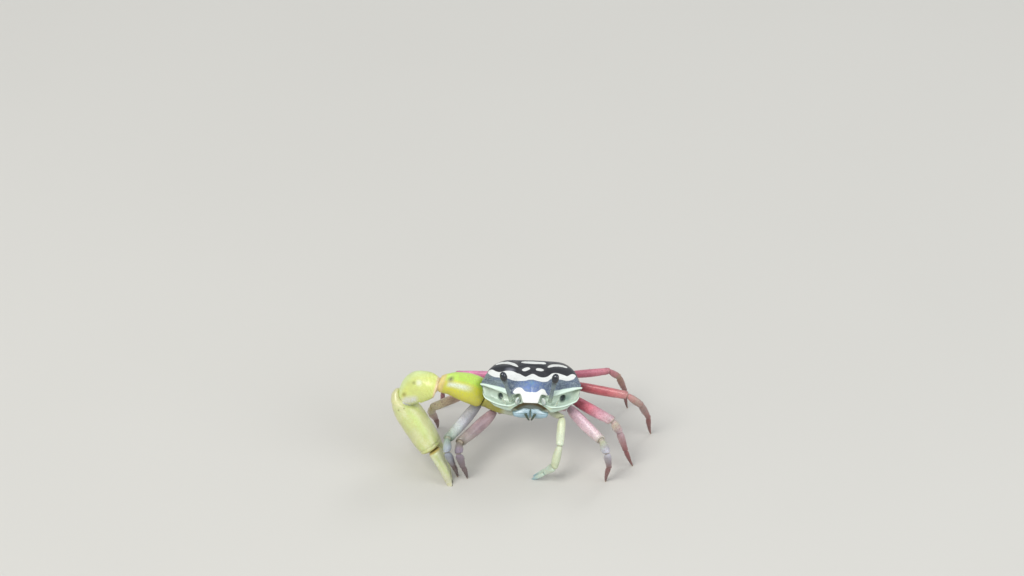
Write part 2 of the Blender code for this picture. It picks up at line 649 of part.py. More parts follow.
# The small claw
def small_claw():
    joints = [Vector(p) for p in (SMALL_ROOT, SMALL_MERUS_START, SMALL_ELBOW, SMALL_WRIST, SMALL_KNUCKLE, SMALL_TIP)]
    cuts = chain(joints)
    forward = Vector((0.3, -1, 0.2))
    arm = (("merus", 1, (1.7, 1.5), SWELL["merus"]), ("carpus", 2, (1.7, 1.5), SWELL["carpus"]),
           ("manus", 3, (1.9, 1.3), SWELL["propodus"]))
    for part, index, size, swell in arm:
        rings = bar(joints[index], joints[index + 1], after_cut(cuts[index]), before_cut(cuts[index + 1]), forward,
                    size, swell)
        solid("small_claw_" + part, *loft(rings), PALE_MINT)
    finger_swell = ((0.0, 0.8, 0.9), (0.3, 1.0, 1.0), (1.0, 0.5, 0.5))
    run = (joints[5] - joints[4]).normalized()
    spread = square_to(Vector((0.2, -1, 0.5)), run)
    floor_cut = (joints[5], Vector((0, 0, -1)))
    for part, shift in (("fixed_finger", 0.55), ("dactyl", -0.55)):
        start = joints[4] + spread * shift
        end = joints[5] + spread * shift * 0.85
        rings = bar(start, end, after_cut(cuts[4]), floor_cut, spread, (0.72, 0.8), finger_swell, steps=6)
        solid("small_claw_" + part, *loft(rings), PALE_MINT)


def centre_over_floor():
    """Move every object so that the box round them all stands centred over the origin."""
    corners = [made.matrix_world @ vertex.co for made in bpy.data.objects for vertex in made.data.vertices]
    middle_x = (min(c.x for c in corners) + max(c.x for c in corners)) / 2
    middle_y = (min(c.y for c in corners) + max(c.y for c in corners)) / 2
    for made in bpy.data.objects:
        made.data.transform(Matrix.Translation((-middle_x, -middle_y, 0.0)))


def main():
    clear_scene()
    carapace()
    sternum()
    abdomen()
    for side in ("left", "right"):
        maxilliped(side)
        eyes(side)
        feelers(side)
    for name, places in LEG_JOINTS.items():
        walking_leg(name, places)
    great_claw()
    small_claw()
    centre_over_floor()


main()
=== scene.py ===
"""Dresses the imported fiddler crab: banded shell, stalked eyes, jointed legs and one great yellow claw.

Lengths in this file are millimetres until a mesh is made. The shell and what it carries are shaped level, as
in the part's source, and then held by HELD; limbs are shaped where they stand.
"""

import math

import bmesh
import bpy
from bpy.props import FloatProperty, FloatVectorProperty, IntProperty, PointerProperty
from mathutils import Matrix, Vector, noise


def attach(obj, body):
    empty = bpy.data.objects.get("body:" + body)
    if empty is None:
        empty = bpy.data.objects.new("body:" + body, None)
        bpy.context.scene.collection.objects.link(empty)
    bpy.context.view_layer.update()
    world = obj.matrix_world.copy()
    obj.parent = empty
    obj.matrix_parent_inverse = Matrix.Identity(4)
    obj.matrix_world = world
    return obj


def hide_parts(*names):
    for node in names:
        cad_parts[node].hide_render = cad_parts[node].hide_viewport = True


bl_info = {
    "name": "Fiddler Crab",
    "version": (1, 0, 0),
    "blender": (4, 5, 0),
    "location": "View3D > Sidebar > Fiddler Crab",
    "description": "Builds the visible surfaces of a fiddler crab round its packed solids",
    "category": "Mesh",
}

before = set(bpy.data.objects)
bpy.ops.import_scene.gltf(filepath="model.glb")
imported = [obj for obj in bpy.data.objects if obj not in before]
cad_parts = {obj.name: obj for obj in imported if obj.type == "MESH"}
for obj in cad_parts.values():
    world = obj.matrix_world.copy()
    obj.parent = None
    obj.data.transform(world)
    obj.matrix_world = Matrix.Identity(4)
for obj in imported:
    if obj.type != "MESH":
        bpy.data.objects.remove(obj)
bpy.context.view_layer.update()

MM = 0.001
BODY = "root"
SIDES = ("left", "right")
SIGNS = {"left": 1.0, "right": -1.0}
UP = Vector((0.0, 0.0, 1.0))
FORWARD = Vector((0.0, -1.0, 0.0))

# Sizes of the body, as in the part's source
HALF_WIDTH = 8.85
SHELL_TOP = 17.75
REAR_Y = 5.45
REAR_HALF_WIDTH = 4.4
FRONT_TIP_Y = -5.95
LOBE_HALF_WIDTH = 1.4
LOBE_BASE_HALF_WIDTH = 3.2
CORNER_FRONT_Y = -3.4
CORNER_REAR_Y = -2.9
SHELL_FLOOR = 12.6
MOUTH_HALF_WIDTH = 3.5
MOUTH_BACK_Y = -4.3
MAXILLIPED_TOP = 13.2
MAXILLIPED_FOOT = 11.0
GAP = 0.3
BODY_PIVOT = Vector((0.0, 0.0, 14.0))
BODY_TURNS = ((-2.5, "Z"), (0.8, "Y"), (-6.0, "X"))
STALK_FOOT = Vector((3.45, -5.75, 15.2))
EYE_MIDDLE = Vector((4.6, -5.35, 19.9))
EYE_LEAN = Vector((-0.3, 0.0, 0.0))

# How the dressed shell departs from its solid: rounding of its edges, points at its corners, lean of its
# sides, and the place that each corner is drawn towards
EDGE_ROUND = 1.0
CORNER_TOOTH = 0.2
SIDE_LEAN = 0.08
CORNER_Y = -3.5
CORNER_Z = 15.9
# Stands in a section of the shell: steps over its back, and where the lower rim and the upright rear begin
TOP_STEPS = 13
LOWER_RIM = 18.45
REAR_STAND = 29.0
# How finely a section is split, up to each of these stands, and how much its corners are eased
SPLITS = ((12, 6), (22, 9), (math.inf, 4))
CORNER_EASE = 0.32
# The hollow in each eye trench, painted dark as shade: its stand, and its middle and reach across on each
# side
EYE_HOLLOW_STAND = 16.55
EYE_HOLLOWS = {"left": (5.7, 0.72), "right": (5.45, 0.62)}
# Middle of the hollow that holds an inner feeler: across and height
FEELER_SOCKET = (2.25, 15.3)
# The mouth's arch: its top, and how fast it falls to the sides
ARCH_TOP = 15.05
ARCH_FALL = 0.17
SUTURES = (-2.3, -0.75, 0.85, 2.35, 3.7)

# Joint places of each walking leg: root, merus start, knee, wrist, ankle and foot
LEG_JOINTS = {
    "leg_2_left": ((4.6, -1.3, 11.4), (6.5, -1.5, 11.1), (12.5, -7.4, 8.2), (13.4, -10.6, 7.9),
                   (13.8, -9.4, 3.8), (13.2, -8.9, 0.0)),
    "leg_3_left": ((4.8, 0.6, 11.4), (7.0, 0.5, 11.6), (14.4, -6.0, 11.6), (15.6, -5.6, 8.9),
                   (16.8, -4.9, 4.0), (18.1, -4.5, 0.0)),
    "leg_4_left": ((4.8, 2.6, 11.7), (7.3, 3.0, 12.6), (17.1, 0.3, 12.4), (19.6, 0.9, 9.7),
                   (21.0, 3.4, 4.8), (21.5, 4.6, 0.0)),
    "leg_5_left": ((4.0, 4.2, 11.1), (6.5, 5.9, 12.6), (13.9, 8.0, 11.8), (15.7, 9.6, 9.2),
                   (16.9, 11.1, 4.8), (17.4, 12.0, 0.0)),
    "leg_2_right": ((-4.6, -1.1, 10.8), (-6.4, -1.2, 10.1), (-12.9, -6.8, 7.2), (-13.0, -9.9, 7.2),
                    (-12.3, -9.1, 3.7), (-11.5, -8.0, 0.0)),
    "leg_3_right": ((-4.8, 0.6, 11.2), (-8.9, 0.9, 11.0), (-15.0, -7.2, 8.4), (-15.1, -10.3, 7.9),
                    (-14.0, -9.0, 3.9), (-13.2, -7.6, 0.0)),
    "leg_4_right": ((-4.8, 2.6, 11.7), (-8.4, 3.2, 12.4), (-17.7, -0.4, 10.2), (-18.0, 1.6, 7.4),
                    (-17.3, 4.6, 3.6), (-16.9, 6.3, 0.0)),
    "leg_5_right": ((-4.0, 4.2, 11.1), (-6.5, 5.9, 12.6), (-13.4, 7.9, 11.2), (-15.0, 9.4, 8.8),
                    (-16.0, 10.9, 4.5), (-16.5, 11.8, 0.0)),
}
# Depth and thickness of the four parts of a leg, by the leg's number
LEG_SIZES = {
    "2": ((2.55, 1.9), (1.75, 1.5), (1.55, 1.25), (1.0, 0.8)),
    "3": ((2.5, 1.9), (1.75, 1.5), (1.55, 1.25), (1.0, 0.8)),
    "4": ((2.2, 1.65), (1.6, 1.3), (1.4, 1.15), (0.95, 0.75)),
    "5": ((1.75, 1.35), (1.3, 1.1), (1.2, 1.0), (0.85, 0.7)),
}
# The four parts of a leg: keel, furrow, rim, bow and hairiness
LEG_FORMS = {"merus": (1.3, 0.06, 0.05, 0.12, 0.12), "carpus": (1.15, 0.0, 0.06, 0.0, 0.2),
             "propodus": (1.1, 0.1, 0.05, 0.0, 0.55), "dactyl": (1.15, 0.16, 0.0, 0.12, 1.0)}

# Joint places of the great claw's arm and the small claw's arm
CLAW_ROOT = Vector((-4.7, -3.2, 11.6))
CLAW_MERUS_START = Vector((-8.9, -1.4, 12.6))
CLAW_ELBOW = Vector((-15.5, -3.9, 18.4))
CLAW_HEEL = Vector((-23.8, -4.5, 15.0))
CLAW_KNUCKLE = Vector((-17.9, -8.7, 6.7))
CLAW_ROLL = math.radians(8.0)
VIEW_SIDE = Vector((0.0, 0.788, -0.616))
VIEW_UP = Vector((0.0, 0.616, 0.788))
PALM = (CLAW_KNUCKLE - CLAW_HEEL).length
PALM_DEPTH = 6.6
PALM_THICKNESS = 4.9
WRIST_DROP = 2.2
FINGER_REACH = 7.7
FINGER_DROP = 2.3
ELBOW_CUT = (CLAW_ELBOW - Vector((0.95, 0.0, 0.0)), Vector((-0.949, 0.195, 0.249)))
SMALL_JOINTS = ((4.7, -3.0, 11.6), (5.4, -4.6, 11.2), (5.0, -8.0, 7.5), (4.0, -9.6, 4.0), (2.4, -8.8, 2.2),
                (0.4, -7.8, 0.0))

# Points round a section and steps along a part, for the leg parts, the great claw's arm and the mouth plates
LEG_SIDES, LEG_STEPS = 40, 44
ARM_SIDES, ARM_STEPS = 72, 80
MOUTH_SIDES, MOUTH_STEPS = 44, 56
END_RINGS = 3


def tone(red, green, blue):
    """A scene-linear colour from screen values of 0 to 255."""
    return tuple((v / 255 / 12.92) if v <= 10 else ((v / 255 + 0.055) / 1.055) ** 2.4
                 for v in (red, green, blue))


def toned(stops):
    """A table of (share, red, green, blue) in screen values, made scene-linear."""
    return tuple((share, *tone(*colour)) for share, *colour in stops)


# Colours along each walking leg, from body to foot: share of the four parts' length, and screen colour
# The second and third right legs are greyed and darkened with painted shade.
LEG_TONES = {name: toned(stops) for name, stops in {
    "leg_2_left": ((0.0, 194, 158, 172), (0.2, 224, 190, 202), (0.4, 226, 206, 208), (0.47, 190, 198, 168),
                   (0.56, 192, 194, 204), (0.7, 166, 158, 164), (0.8, 140, 96, 92), (1.0, 116, 88, 84)),
    "leg_3_left": ((0.0, 190, 92, 106), (0.2, 212, 118, 134), (0.32, 222, 170, 184), (0.42, 220, 190, 196),
                   (0.48, 208, 198, 176), (0.56, 196, 172, 176), (0.7, 172, 130, 132), (0.82, 144, 92, 90),
                   (1.0, 120, 92, 84)),
    "leg_4_left": ((0.0, 188, 100, 106), (0.25, 204, 110, 116), (0.42, 196, 140, 136), (0.5, 174, 150, 138),
                   (0.6, 164, 136, 130), (0.75, 146, 96, 92), (1.0, 112, 82, 76)),
    "leg_5_left": ((0.0, 184, 100, 118), (0.25, 196, 118, 134), (0.45, 178, 122, 124), (0.52, 164, 132, 112),
                   (0.7, 150, 104, 98), (1.0, 108, 78, 72)),
    "leg_2_right": ((0.0, 176, 146, 152), (0.25, 172, 148, 153), (0.42, 166, 156, 149), (0.48, 164, 156, 140),
                    (0.56, 154, 142, 160), (0.72, 124, 112, 118), (0.85, 104, 86, 86), (1.0, 82, 68, 66)),
    "leg_3_right": ((0.0, 182, 180, 186), (0.28, 190, 190, 198), (0.42, 178, 190, 180), (0.48, 154, 174, 156),
                    (0.56, 170, 180, 190), (0.7, 148, 150, 160), (0.82, 102, 72, 72), (1.0, 82, 60, 58)),
    "leg_4_right": ((0.0, 198, 134, 134), (0.22, 210, 176, 162), (0.38, 212, 198, 168), (0.52, 206, 196, 166),
                    (0.64, 196, 172, 160), (0.8, 134, 96, 92), (1.0, 92, 66, 62)),
    "leg_5_right": ((0.0, 222, 134, 174), (0.3, 222, 138, 178), (0.5, 194, 134, 142), (0.7, 154, 104, 102),
                    (1.0, 108, 76, 72)),
}.items()}
# Colour of every limb's root
# The great claw's dark olive root is partly painted shade where it goes in under the shell.
ROOT_TONES = {"claw": tone(164, 158, 52), "small_claw": tone(206, 210, 176),
              **{name: stops[0][1:] for name, stops in LEG_TONES.items()}}
# Fixed colours of the shell
# Several of these colour the face's hollows, sockets, rims and mouth opening as painted shade
SHELL_TONES = {name: tone(*colour) for name, colour in {
    "grey": (58, 63, 80), "smear": (150, 152, 164), "teal": (96, 148, 170), "moss": (112, 126, 122),
    "trench": (214, 228, 208), "hollow_shade": (34, 56, 54), "pale": (190, 216, 196), "shade": (122, 134, 104),
    "socket": (128, 142, 128), "gap": (126, 108, 72), "muzzle": (176, 184, 176), "tail": (118, 150, 138),
    "straw": (226, 234, 188),
}.items()}

# Back and front edge of the wavy white band across the shell, in level body millimetres: (x, back, front)
WAVY_BAND = (
    (-7.95, 0.1, 0.1), (-7.7, 0.65, -0.6), (-7.1, 0.65, -1.35), (-6.4, 0.0, -1.8), (-5.8, -0.3, -1.95),
    (-5.2, -0.15, -2.05), (-4.6, 0.05, -2.2), (-3.4, -0.05, -2.75), (-2.3, -0.7, -3.05), (-1.1, -1.8, -3.0),
    (-0.5, -1.3, -2.75), (0.15, -0.85, -2.65), (0.7, -1.15, -2.75), (1.25, -1.6, -2.95), (2.2, -1.7, -3.05),
    (2.9, -1.1, -2.8), (3.5, -0.35, -1.8), (4.2, -0.1, -1.75), (4.85, -0.2, -1.9), (5.8, -0.5, -2.1),
    (6.3, -0.65, -2.15), (7.0, 0.1, -1.8), (7.5, 0.3, -1.3), (7.75, 0.1, -0.6), (7.9, -0.2, -0.2))
# White strokes behind the band: each a line of (x, y, half width)
WHITE_STROKES = (
    ((-6.35, 2.6, 0.2), (-5.95, 2.95, 0.38), (-5.5, 3.15, 0.46), (-4.6, 3.22, 0.5), (-3.65, 2.65, 0.42),
     (-3.05, 2.05, 0.32), (-2.75, 1.7, 0.14)),
    ((2.95, 1.95, 0.2), (3.3, 2.3, 0.4), (3.75, 2.6, 0.5), (4.6, 2.8, 0.48), (5.3, 2.6, 0.4),
     (5.8, 2.35, 0.28), (6.0, 2.2, 0.16)),
    ((-1.75, 3.6, 0.24), (-1.35, 3.56, 0.42), (0.15, 3.5, 0.5), (1.7, 3.52, 0.44), (2.05, 3.55, 0.26)),
    ((-1.35, 0.55, 0.4), (-0.85, 1.0, 0.4)),
    ((1.1, 0.85, 0.38), (1.55, 0.8, 0.42)),
)
# Furrows on each half of the shell's back: depth, reach and line
FURROWS = (
    (0.09, 0.85, ((3.4, -2.9, 0.0), (2.9, -1.2, 0.0), (2.5, 0.4, 0.0), (2.1, 1.5, 0.0), (2.4, 2.8, 0.0),
                  (2.9, 4.4, 0.0))),
    (0.06, 0.7, ((0.0, 2.1, 0.0), (0.9, 2.0, 0.0), (2.1, 1.5, 0.0))),
    (0.1, 0.4, ((3.3, -4.1, 0.0), (5.5, -3.6, 0.0), (8.0, -2.6, 0.0))),
)
# Back edge of the white front lobe (x, y), and its half width on its way forward and down (y, half width)
LOBE_WHITE = (
    (-3.6, -5.2), (-3.3, -4.9), (-3.0, -4.6), (-2.4, -4.3), (-1.7, -4.35), (-1.0, -4.78), (0.5, -4.85),
    (1.2, -4.75), (1.9, -4.35), (2.45, -4.45), (2.85, -4.85), (3.4, -5.2))
LOBE_HALF = ((-6.3, 1.6), (-5.9, 1.5), (-5.6, 1.58), (-5.35, 1.85), (-5.15, 2.35), (-5.0, 2.85),
             (-4.85, 3.15), (-4.6, 3.4))

# How each limb part swells along its length: share of the length, of the depth, of the thickness, and lift
SWELL = {
    "merus": ((0.0, 0.5, 0.72), (0.15, 0.82, 0.95), (0.45, 1.0, 1.0), (0.85, 0.84, 0.96), (1.0, 0.7, 0.86)),
    "carpus": ((0.0, 0.62, 0.72), (0.35, 0.9, 0.95), (0.75, 1.0, 1.0), (1.0, 0.84, 0.85)),
    "propodus": ((0.0, 0.78, 0.78), (0.25, 1.0, 1.0), (0.7, 0.84, 0.84), (1.0, 0.7, 0.72)),
    "dactyl": ((0.0, 0.82, 0.82), (0.2, 1.0, 1.0), (0.6, 0.68, 0.7), (0.88, 0.42, 0.46), (1.0, 0.2, 0.26)),
    "coxa": ((0.0, 0.75, 0.8), (0.5, 1.0, 1.0), (1.0, 0.8, 0.8)),
    "claw_merus": ((0.0, 0.92, 0.72, 0.2), (0.14, 1.0, 0.92, 0.22), (0.4, 0.99, 1.0, 0.2),
                   (0.57, 0.91, 0.98, 0.165), (0.74, 0.79, 0.9, 0.12), (0.87, 0.7, 0.82, 0.04),
                   (0.95, 0.6, 0.74, -0.01), (1.0, 0.5, 0.64, -0.03)),
    "small_finger": ((0.0, 0.8, 0.9), (0.3, 1.0, 1.0), (0.75, 0.7, 0.8), (1.0, 0.5, 0.6)),
    "eyestalk": ((0.0, 0.86, 0.86), (0.1, 0.8, 0.8), (0.4, 0.72, 0.72), (0.7, 0.76, 0.76), (0.88, 0.9, 0.9),
                 (1.0, 0.94, 0.94)),
}


# Shaping
def held_between(value, low=0.0, high=1.0):
    return min(high, max(low, value))


def ramp(value, low, high):
    """0 below low, 1 above high, eased between."""
    share = held_between((value - low) / (high - low))
    return share * share * (3.0 - 2.0 * share)


def bump(value, middle, reach):
    """1 at the middle, eased to 0 at the reach."""
    return 1.0 - ramp(abs(value - middle), 0.0, reach)


def powered(value, power):
    """A power of a value that keeps its sign."""
    return math.copysign(abs(value) ** power, value)


def mixed(one, other, share):
    return tuple(a + (b - a) * share for a, b in zip(one, other))


def layered(tint, *coats):
    """A colour under coats, each a colour and how much it covers."""
    for coat, cover in coats:
        tint = mixed(tint, coat, cover)
    return tint


def bent(here, there, slope_in, slope_out, t):
    """A place on the curve from here to there with given slopes at its ends."""
    return (here * (2 * t**3 - 3 * t**2 + 1) + slope_in * (t**3 - 2 * t**2 + t)
            + there * (3 * t**2 - 2 * t**3) + slope_out * (t**3 - t**2))


def through(stops, share):
    """The values of a table of stops, along a smooth curve through them."""
    if share <= stops[0][0]:
        return list(stops[0][1:])
    if share >= stops[-1][0]:
        return list(stops[-1][1:])
    index = max(i for i in range(len(stops) - 1) if stops[i][0] <= share)
    here, there = stops[index], stops[index + 1]
    before, after = stops[max(0, index - 1)], stops[min(len(stops) - 1, index + 2)]
    run = there[0] - here[0]
    return [bent(here[k], there[k], (there[k] - before[k]) / (there[0] - before[0]) * run,
                 (after[k] - here[k]) / (after[0] - here[0]) * run, (share - here[0]) / run)
            for k in range(1, len(here))]


def straight(stops, share):
    """The values of a table of stops, along straight lines between them."""
    for before, after in zip(stops, stops[1:]):
        if share <= after[0]:
            return mixed(before[1:], after[1:], max(0.0, (share - before[0]) / (after[0] - before[0])))
    return stops[-1][1:]


def to_stroke(x, y, stroke):
    """How far a place lies inside a tapering stroke; negative outside."""
    best = -99.0
    for (ax, ay, aw), (bx, by, bw) in zip(stroke, stroke[1:]):
        run_x, run_y = bx - ax, by - ay
        t = held_between(((x - ax) * run_x + (y - ay) * run_y) / (run_x**2 + run_y**2))
        best = max(best, aw + (bw - aw) * t - math.hypot(x - ax - run_x * t, y - ay - run_y * t))
    return best


def square_to(vector, axis):
    """The part of a vector that is square to an axis, at unit length."""
    return (vector - axis * vector.dot(axis)).normalized()


def placed_offset():
    """From the part's own zero to the frame's, read from the foot of the second left leg."""
    foot = LEG_JOINTS["leg_2_left"][-1]
    flat = [v.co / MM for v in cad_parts["leg_2_left_dactyl"].data.vertices if v.co.z < 1e-6]
    ends = [(min(p[axis] for p in flat), max(p[axis] for p in flat)) for axis in (0, 1)]
    return Vector(((ends[0][0] + ends[0][1]) / 2 - foot[0], (ends[1][0] + ends[1][1]) / 2 - foot[1], 0.0))


def body_matrix():
    turn = Matrix.Identity(4)
    for angle, axis in BODY_TURNS:
        turn = turn @ Matrix.Rotation(math.radians(angle), 4, axis)
    return Matrix.Translation(BODY_PIVOT) @ turn @ Matrix.Translation(-BODY_PIVOT)


OFFSET = placed_offset()
HELD = body_matrix()
LEVEL = HELD.inverted()


def on_body(points):
    return [HELD @ Vector(p) for p in points]


def mirrored(points, side):
    """Places of the left side in the part's level body, held on the body at either side."""
    return on_body([(SIGNS[side] * x, y, z) for x, y, z in points])


def chain(joints):
    """The cutting plane at every joint of a chain: square at its ends and mitred between."""
    ways = [(there - here).normalized() for here, there in zip(joints, joints[1:])]
    return [(here, sum(ways[max(0, index - 1):index + 1], Vector()).normalized())
            for index, here in enumerate(joints)]


def moved_cut(cut, side):
    """A cutting plane moved half a gap, back for a side of -1 and on for a side of 1."""
    return cut[0] + cut[1] * (side * GAP / 2), cut[1]


def angles(count):
    return [math.tau * k / count for k in range(count)]


def bar(start, end, start_cut, end_cut, depth_way, size, swell, *, count, steps, bow=0.0, keel=1.0,
        furrow=0.0, rim=0.05, rough=0.012):
    """Rings of a limb part between two cutting planes, keeled, furrowed, and with a rim at its far joint."""
    way = (end - start).normalized()
    depth_way = square_to(depth_way, way)
    side_way = way.cross(depth_way)
    rings = []
    for step in range(steps + 1):
        share = step / steps
        shares = through(swell, share)
        wide = 1.0 + rim * (bump(share, 0.95, 0.07) - 0.6 * bump(share, 0.86, 0.07))
        wide -= 0.1 * (1.0 - ramp(share, 0.0, 0.06))
        lift = bow * 4.0 * share * (1.0 - share) + sum(shares[2:]) * size[0]
        ring = []
        for angle in angles(count):
            across = powered(math.sin(angle), keel)
            across *= 1.0 - furrow * bump(math.cos(angle), 0.0, 0.5) * bump(share, 0.5, 0.45)
            offset = depth_way * (math.cos(angle) * size[0] * shares[0] * wide / 2 + lift)
            offset += side_way * across * size[1] * shares[1] * wide / 2
            near, far = start + offset, end + offset
            near += way * ((start_cut[0] - near).dot(start_cut[1]) / way.dot(start_cut[1]))
            far += way * ((end_cut[0] - far).dot(end_cut[1]) / way.dot(end_cut[1]))
            place = near.lerp(far, share)
            grain = noise.noise(place * 2.2) + 0.5 * noise.noise(place * 6.0)
            ring.append(place + offset.normalized() * grain * rough)
        rings.append(ring)
    return rings


def middle_of(ring):
    return sum(ring, Vector()) / len(ring)


def capped(rings, near=0.1, far=-0.12):
    """Rings with rounded ends: each end bulges out by its reach, or is hollowed where that is negative."""
    ends = []
    for ring, beyond, reach in ((rings[0], rings[1], near), (rings[-1], rings[-2], far)):
        middle = middle_of(ring)
        out = (middle - middle_of(beyond)).normalized()
        extra = []
        for index in range(END_RINGS):
            angle = math.radians(25 + 25 * index)
            scale = math.cos(angle) * (1.0 if reach > 0 else 0.9)
            extra.append([middle + (p - middle) * scale + out * reach * math.sin(angle) for p in ring])
        ends.append(extra)
    return ends[0][::-1] + list(rings) + ends[1]


def part_share(row, steps):
    """How far along a capped part of so many steps a row of its skin lies."""
    return held_between((row - END_RINGS) / steps)


def unwrapped(column, sides, row, steps, band, bands):
    """A point's place on the unwrap of several capped skins, each on its own band."""
    return (column / sides, (band + row / (steps + 2 * END_RINGS + 2)) / bands, 0.0)


# Meshes
class Skin:
    """Points in millimetres, faces and values for each point, gathered into one mesh."""

    def __init__(self, rings=None, values=lambda row, k: {}):
        self.points = []
        self.faces = []
        self.values = {}
        if rings:
            self.add_rings(rings, values)

    def add_rings(self, rings, values):
        """A closed surface through rings; values(ring index, index in ring) gives a point's values."""
        base, count = len(self.points), len(rings[0])
        for row, ring in enumerate(rings):
            for k, place in enumerate(ring):
                self.add_point(place, values(row, k))
        for low in range(base, base + (len(rings) - 1) * count, count):
            for k in range(count):
                after = (k + 1) % count
                self.faces.append((low + k, low + after, low + count + after, low + count + k))
        for row, turned in ((0, True), (len(rings) - 1, False)):
            pole = self.add_point(middle_of(rings[row]), values(row, 0))
            for k in range(count):
                edge = (base + row * count + k, base + row * count + (k + 1) % count)
                self.faces.append((pole, *reversed(edge)) if turned else (pole, *edge))

    def add_point(self, place, values):
        self.points.append(Vector(place))
        for key, value in values.items():
            self.values.setdefault(key, []).append(value)
        return len(self.points) - 1

    def made(self, name, matter):
        mesh = bpy.data.meshes.new(name)
        mesh.from_pydata([(p + OFFSET) * MM for p in self.points], [], self.faces)
        shaped = bmesh.new()
        shaped.from_mesh(mesh)
        bmesh.ops.recalc_face_normals(shaped, faces=shaped.faces)
        shaped.to_mesh(mesh)
        shaped.free()
        for key, values in self.values.items():
            write_values(mesh, key, values)
        return finished(name, mesh, matter)


def linked(name, data):
    made = bpy.data.objects.new(name, data)
    bpy.context.scene.collection.objects.link(made)
    return made


def finished(name, mesh, matter):
    """A smooth object of one material from a mesh."""
    mesh.name = name
    mesh.materials.clear()
    mesh.materials.append(matter)
    mesh.shade_smooth()
    return linked(name, mesh)


def write_values(mesh, key, values):
    """Store a colour, a direction or a number for every point of a mesh."""
    kind, field = "FLOAT", "value"
    if key == "tint":
        kind, field, values = "FLOAT_COLOR", "color", [part for value in values for part in (*value[:3], 1.0)]
    elif isinstance(values[0], (tuple, Vector)):
        kind, field, values = "FLOAT_VECTOR", "vector", [part for value in values for part in value]
    mesh.attributes.new(key, kind, "POINT").data.foreach_set(field, values)


def retinted(made, tint_of):
    """Colour each point of a piece from its vertex, in place of any colours that it came with."""
    mesh = made.data
    for old in [a for a in mesh.attributes if a.name == "tint"]:
        mesh.attributes.remove(old)
    write_values(mesh, "tint", [tint_of(v) for v in mesh.vertices])
    return made


def coloured(made, colour):
    return retinted(made, lambda vertex: colour)


def baked(source, name, matter):
    """A plain mesh object from an object with live modifiers, which is removed."""
    mesh = bpy.data.meshes.new_from_object(source.evaluated_get(bpy.context.evaluated_depsgraph_get()))
    bpy.data.objects.remove(source, do_unlink=True)
    return finished(name, mesh, matter)


def grown_together(skins, name, matter, voxel):
    """Overlapping closed skins joined into one surface by a fine remesh."""
    whole = Skin()
    for skin in skins:
        base = len(whole.points)
        whole.points += skin.points
        whole.faces += [tuple(base + k for k in face) for face in skin.faces]
    source = whole.made(name + "_source", matter)
    remesh = source.modifiers.new("join", "REMESH")
    remesh.mode = "VOXEL"
    remesh.voxel_size = voxel
    relax = source.modifiers.new("relax", "SMOOTH")
    relax.factor = 0.5
    relax.iterations = 2
    return baked(source, name, matter)


def reshaped(made, values, moved):
    """Write values for each point of a joined mesh and move it along its normal, both from its place."""
    mesh = made.data
    places = [v.co / MM - OFFSET for v in mesh.vertices]
    normals = [v.normal.copy() for v in mesh.vertices]
    for vertex, place, normal in zip(mesh.vertices, places, normals):
        vertex.co += normal * moved(place, normal) * MM
    found = [values(place) for place in places]
    for key in found[0]:
        write_values(mesh, key, [one[key] for one in found])
    return made


def path_object(name, places, radii=None):
    """An open path through places in millimetres, with its thickness at each."""
    curve = bpy.data.curves.new(name, "CURVE")
    curve.dimensions = "3D"
    spline = curve.splines.new("POLY")
    spline.points.add(len(places) - 1)
    for index, place in enumerate(places):
        spline.points[index].co = (*((Vector(place) + OFFSET) * MM), 1.0)
        spline.points[index].radius = (radii[index] if radii else 1.0) * MM
    return linked(name, curve)


def merged(objects, name, matter):
    """Several plain mesh objects as one."""
    shaped = bmesh.new()
    for one in objects:
        shaped.from_mesh(one.data)
        bpy.data.objects.remove(one, do_unlink=True)
    mesh = bpy.data.meshes.new(name)
    shaped.to_mesh(mesh)
    shaped.free()
    return finished(name, mesh, matter)


# Node trees
HAIR_SIDES = 5
HAIR_RINGS = 3
HAIR_PATCH = 0.003
JOINT_SAMPLES = 6


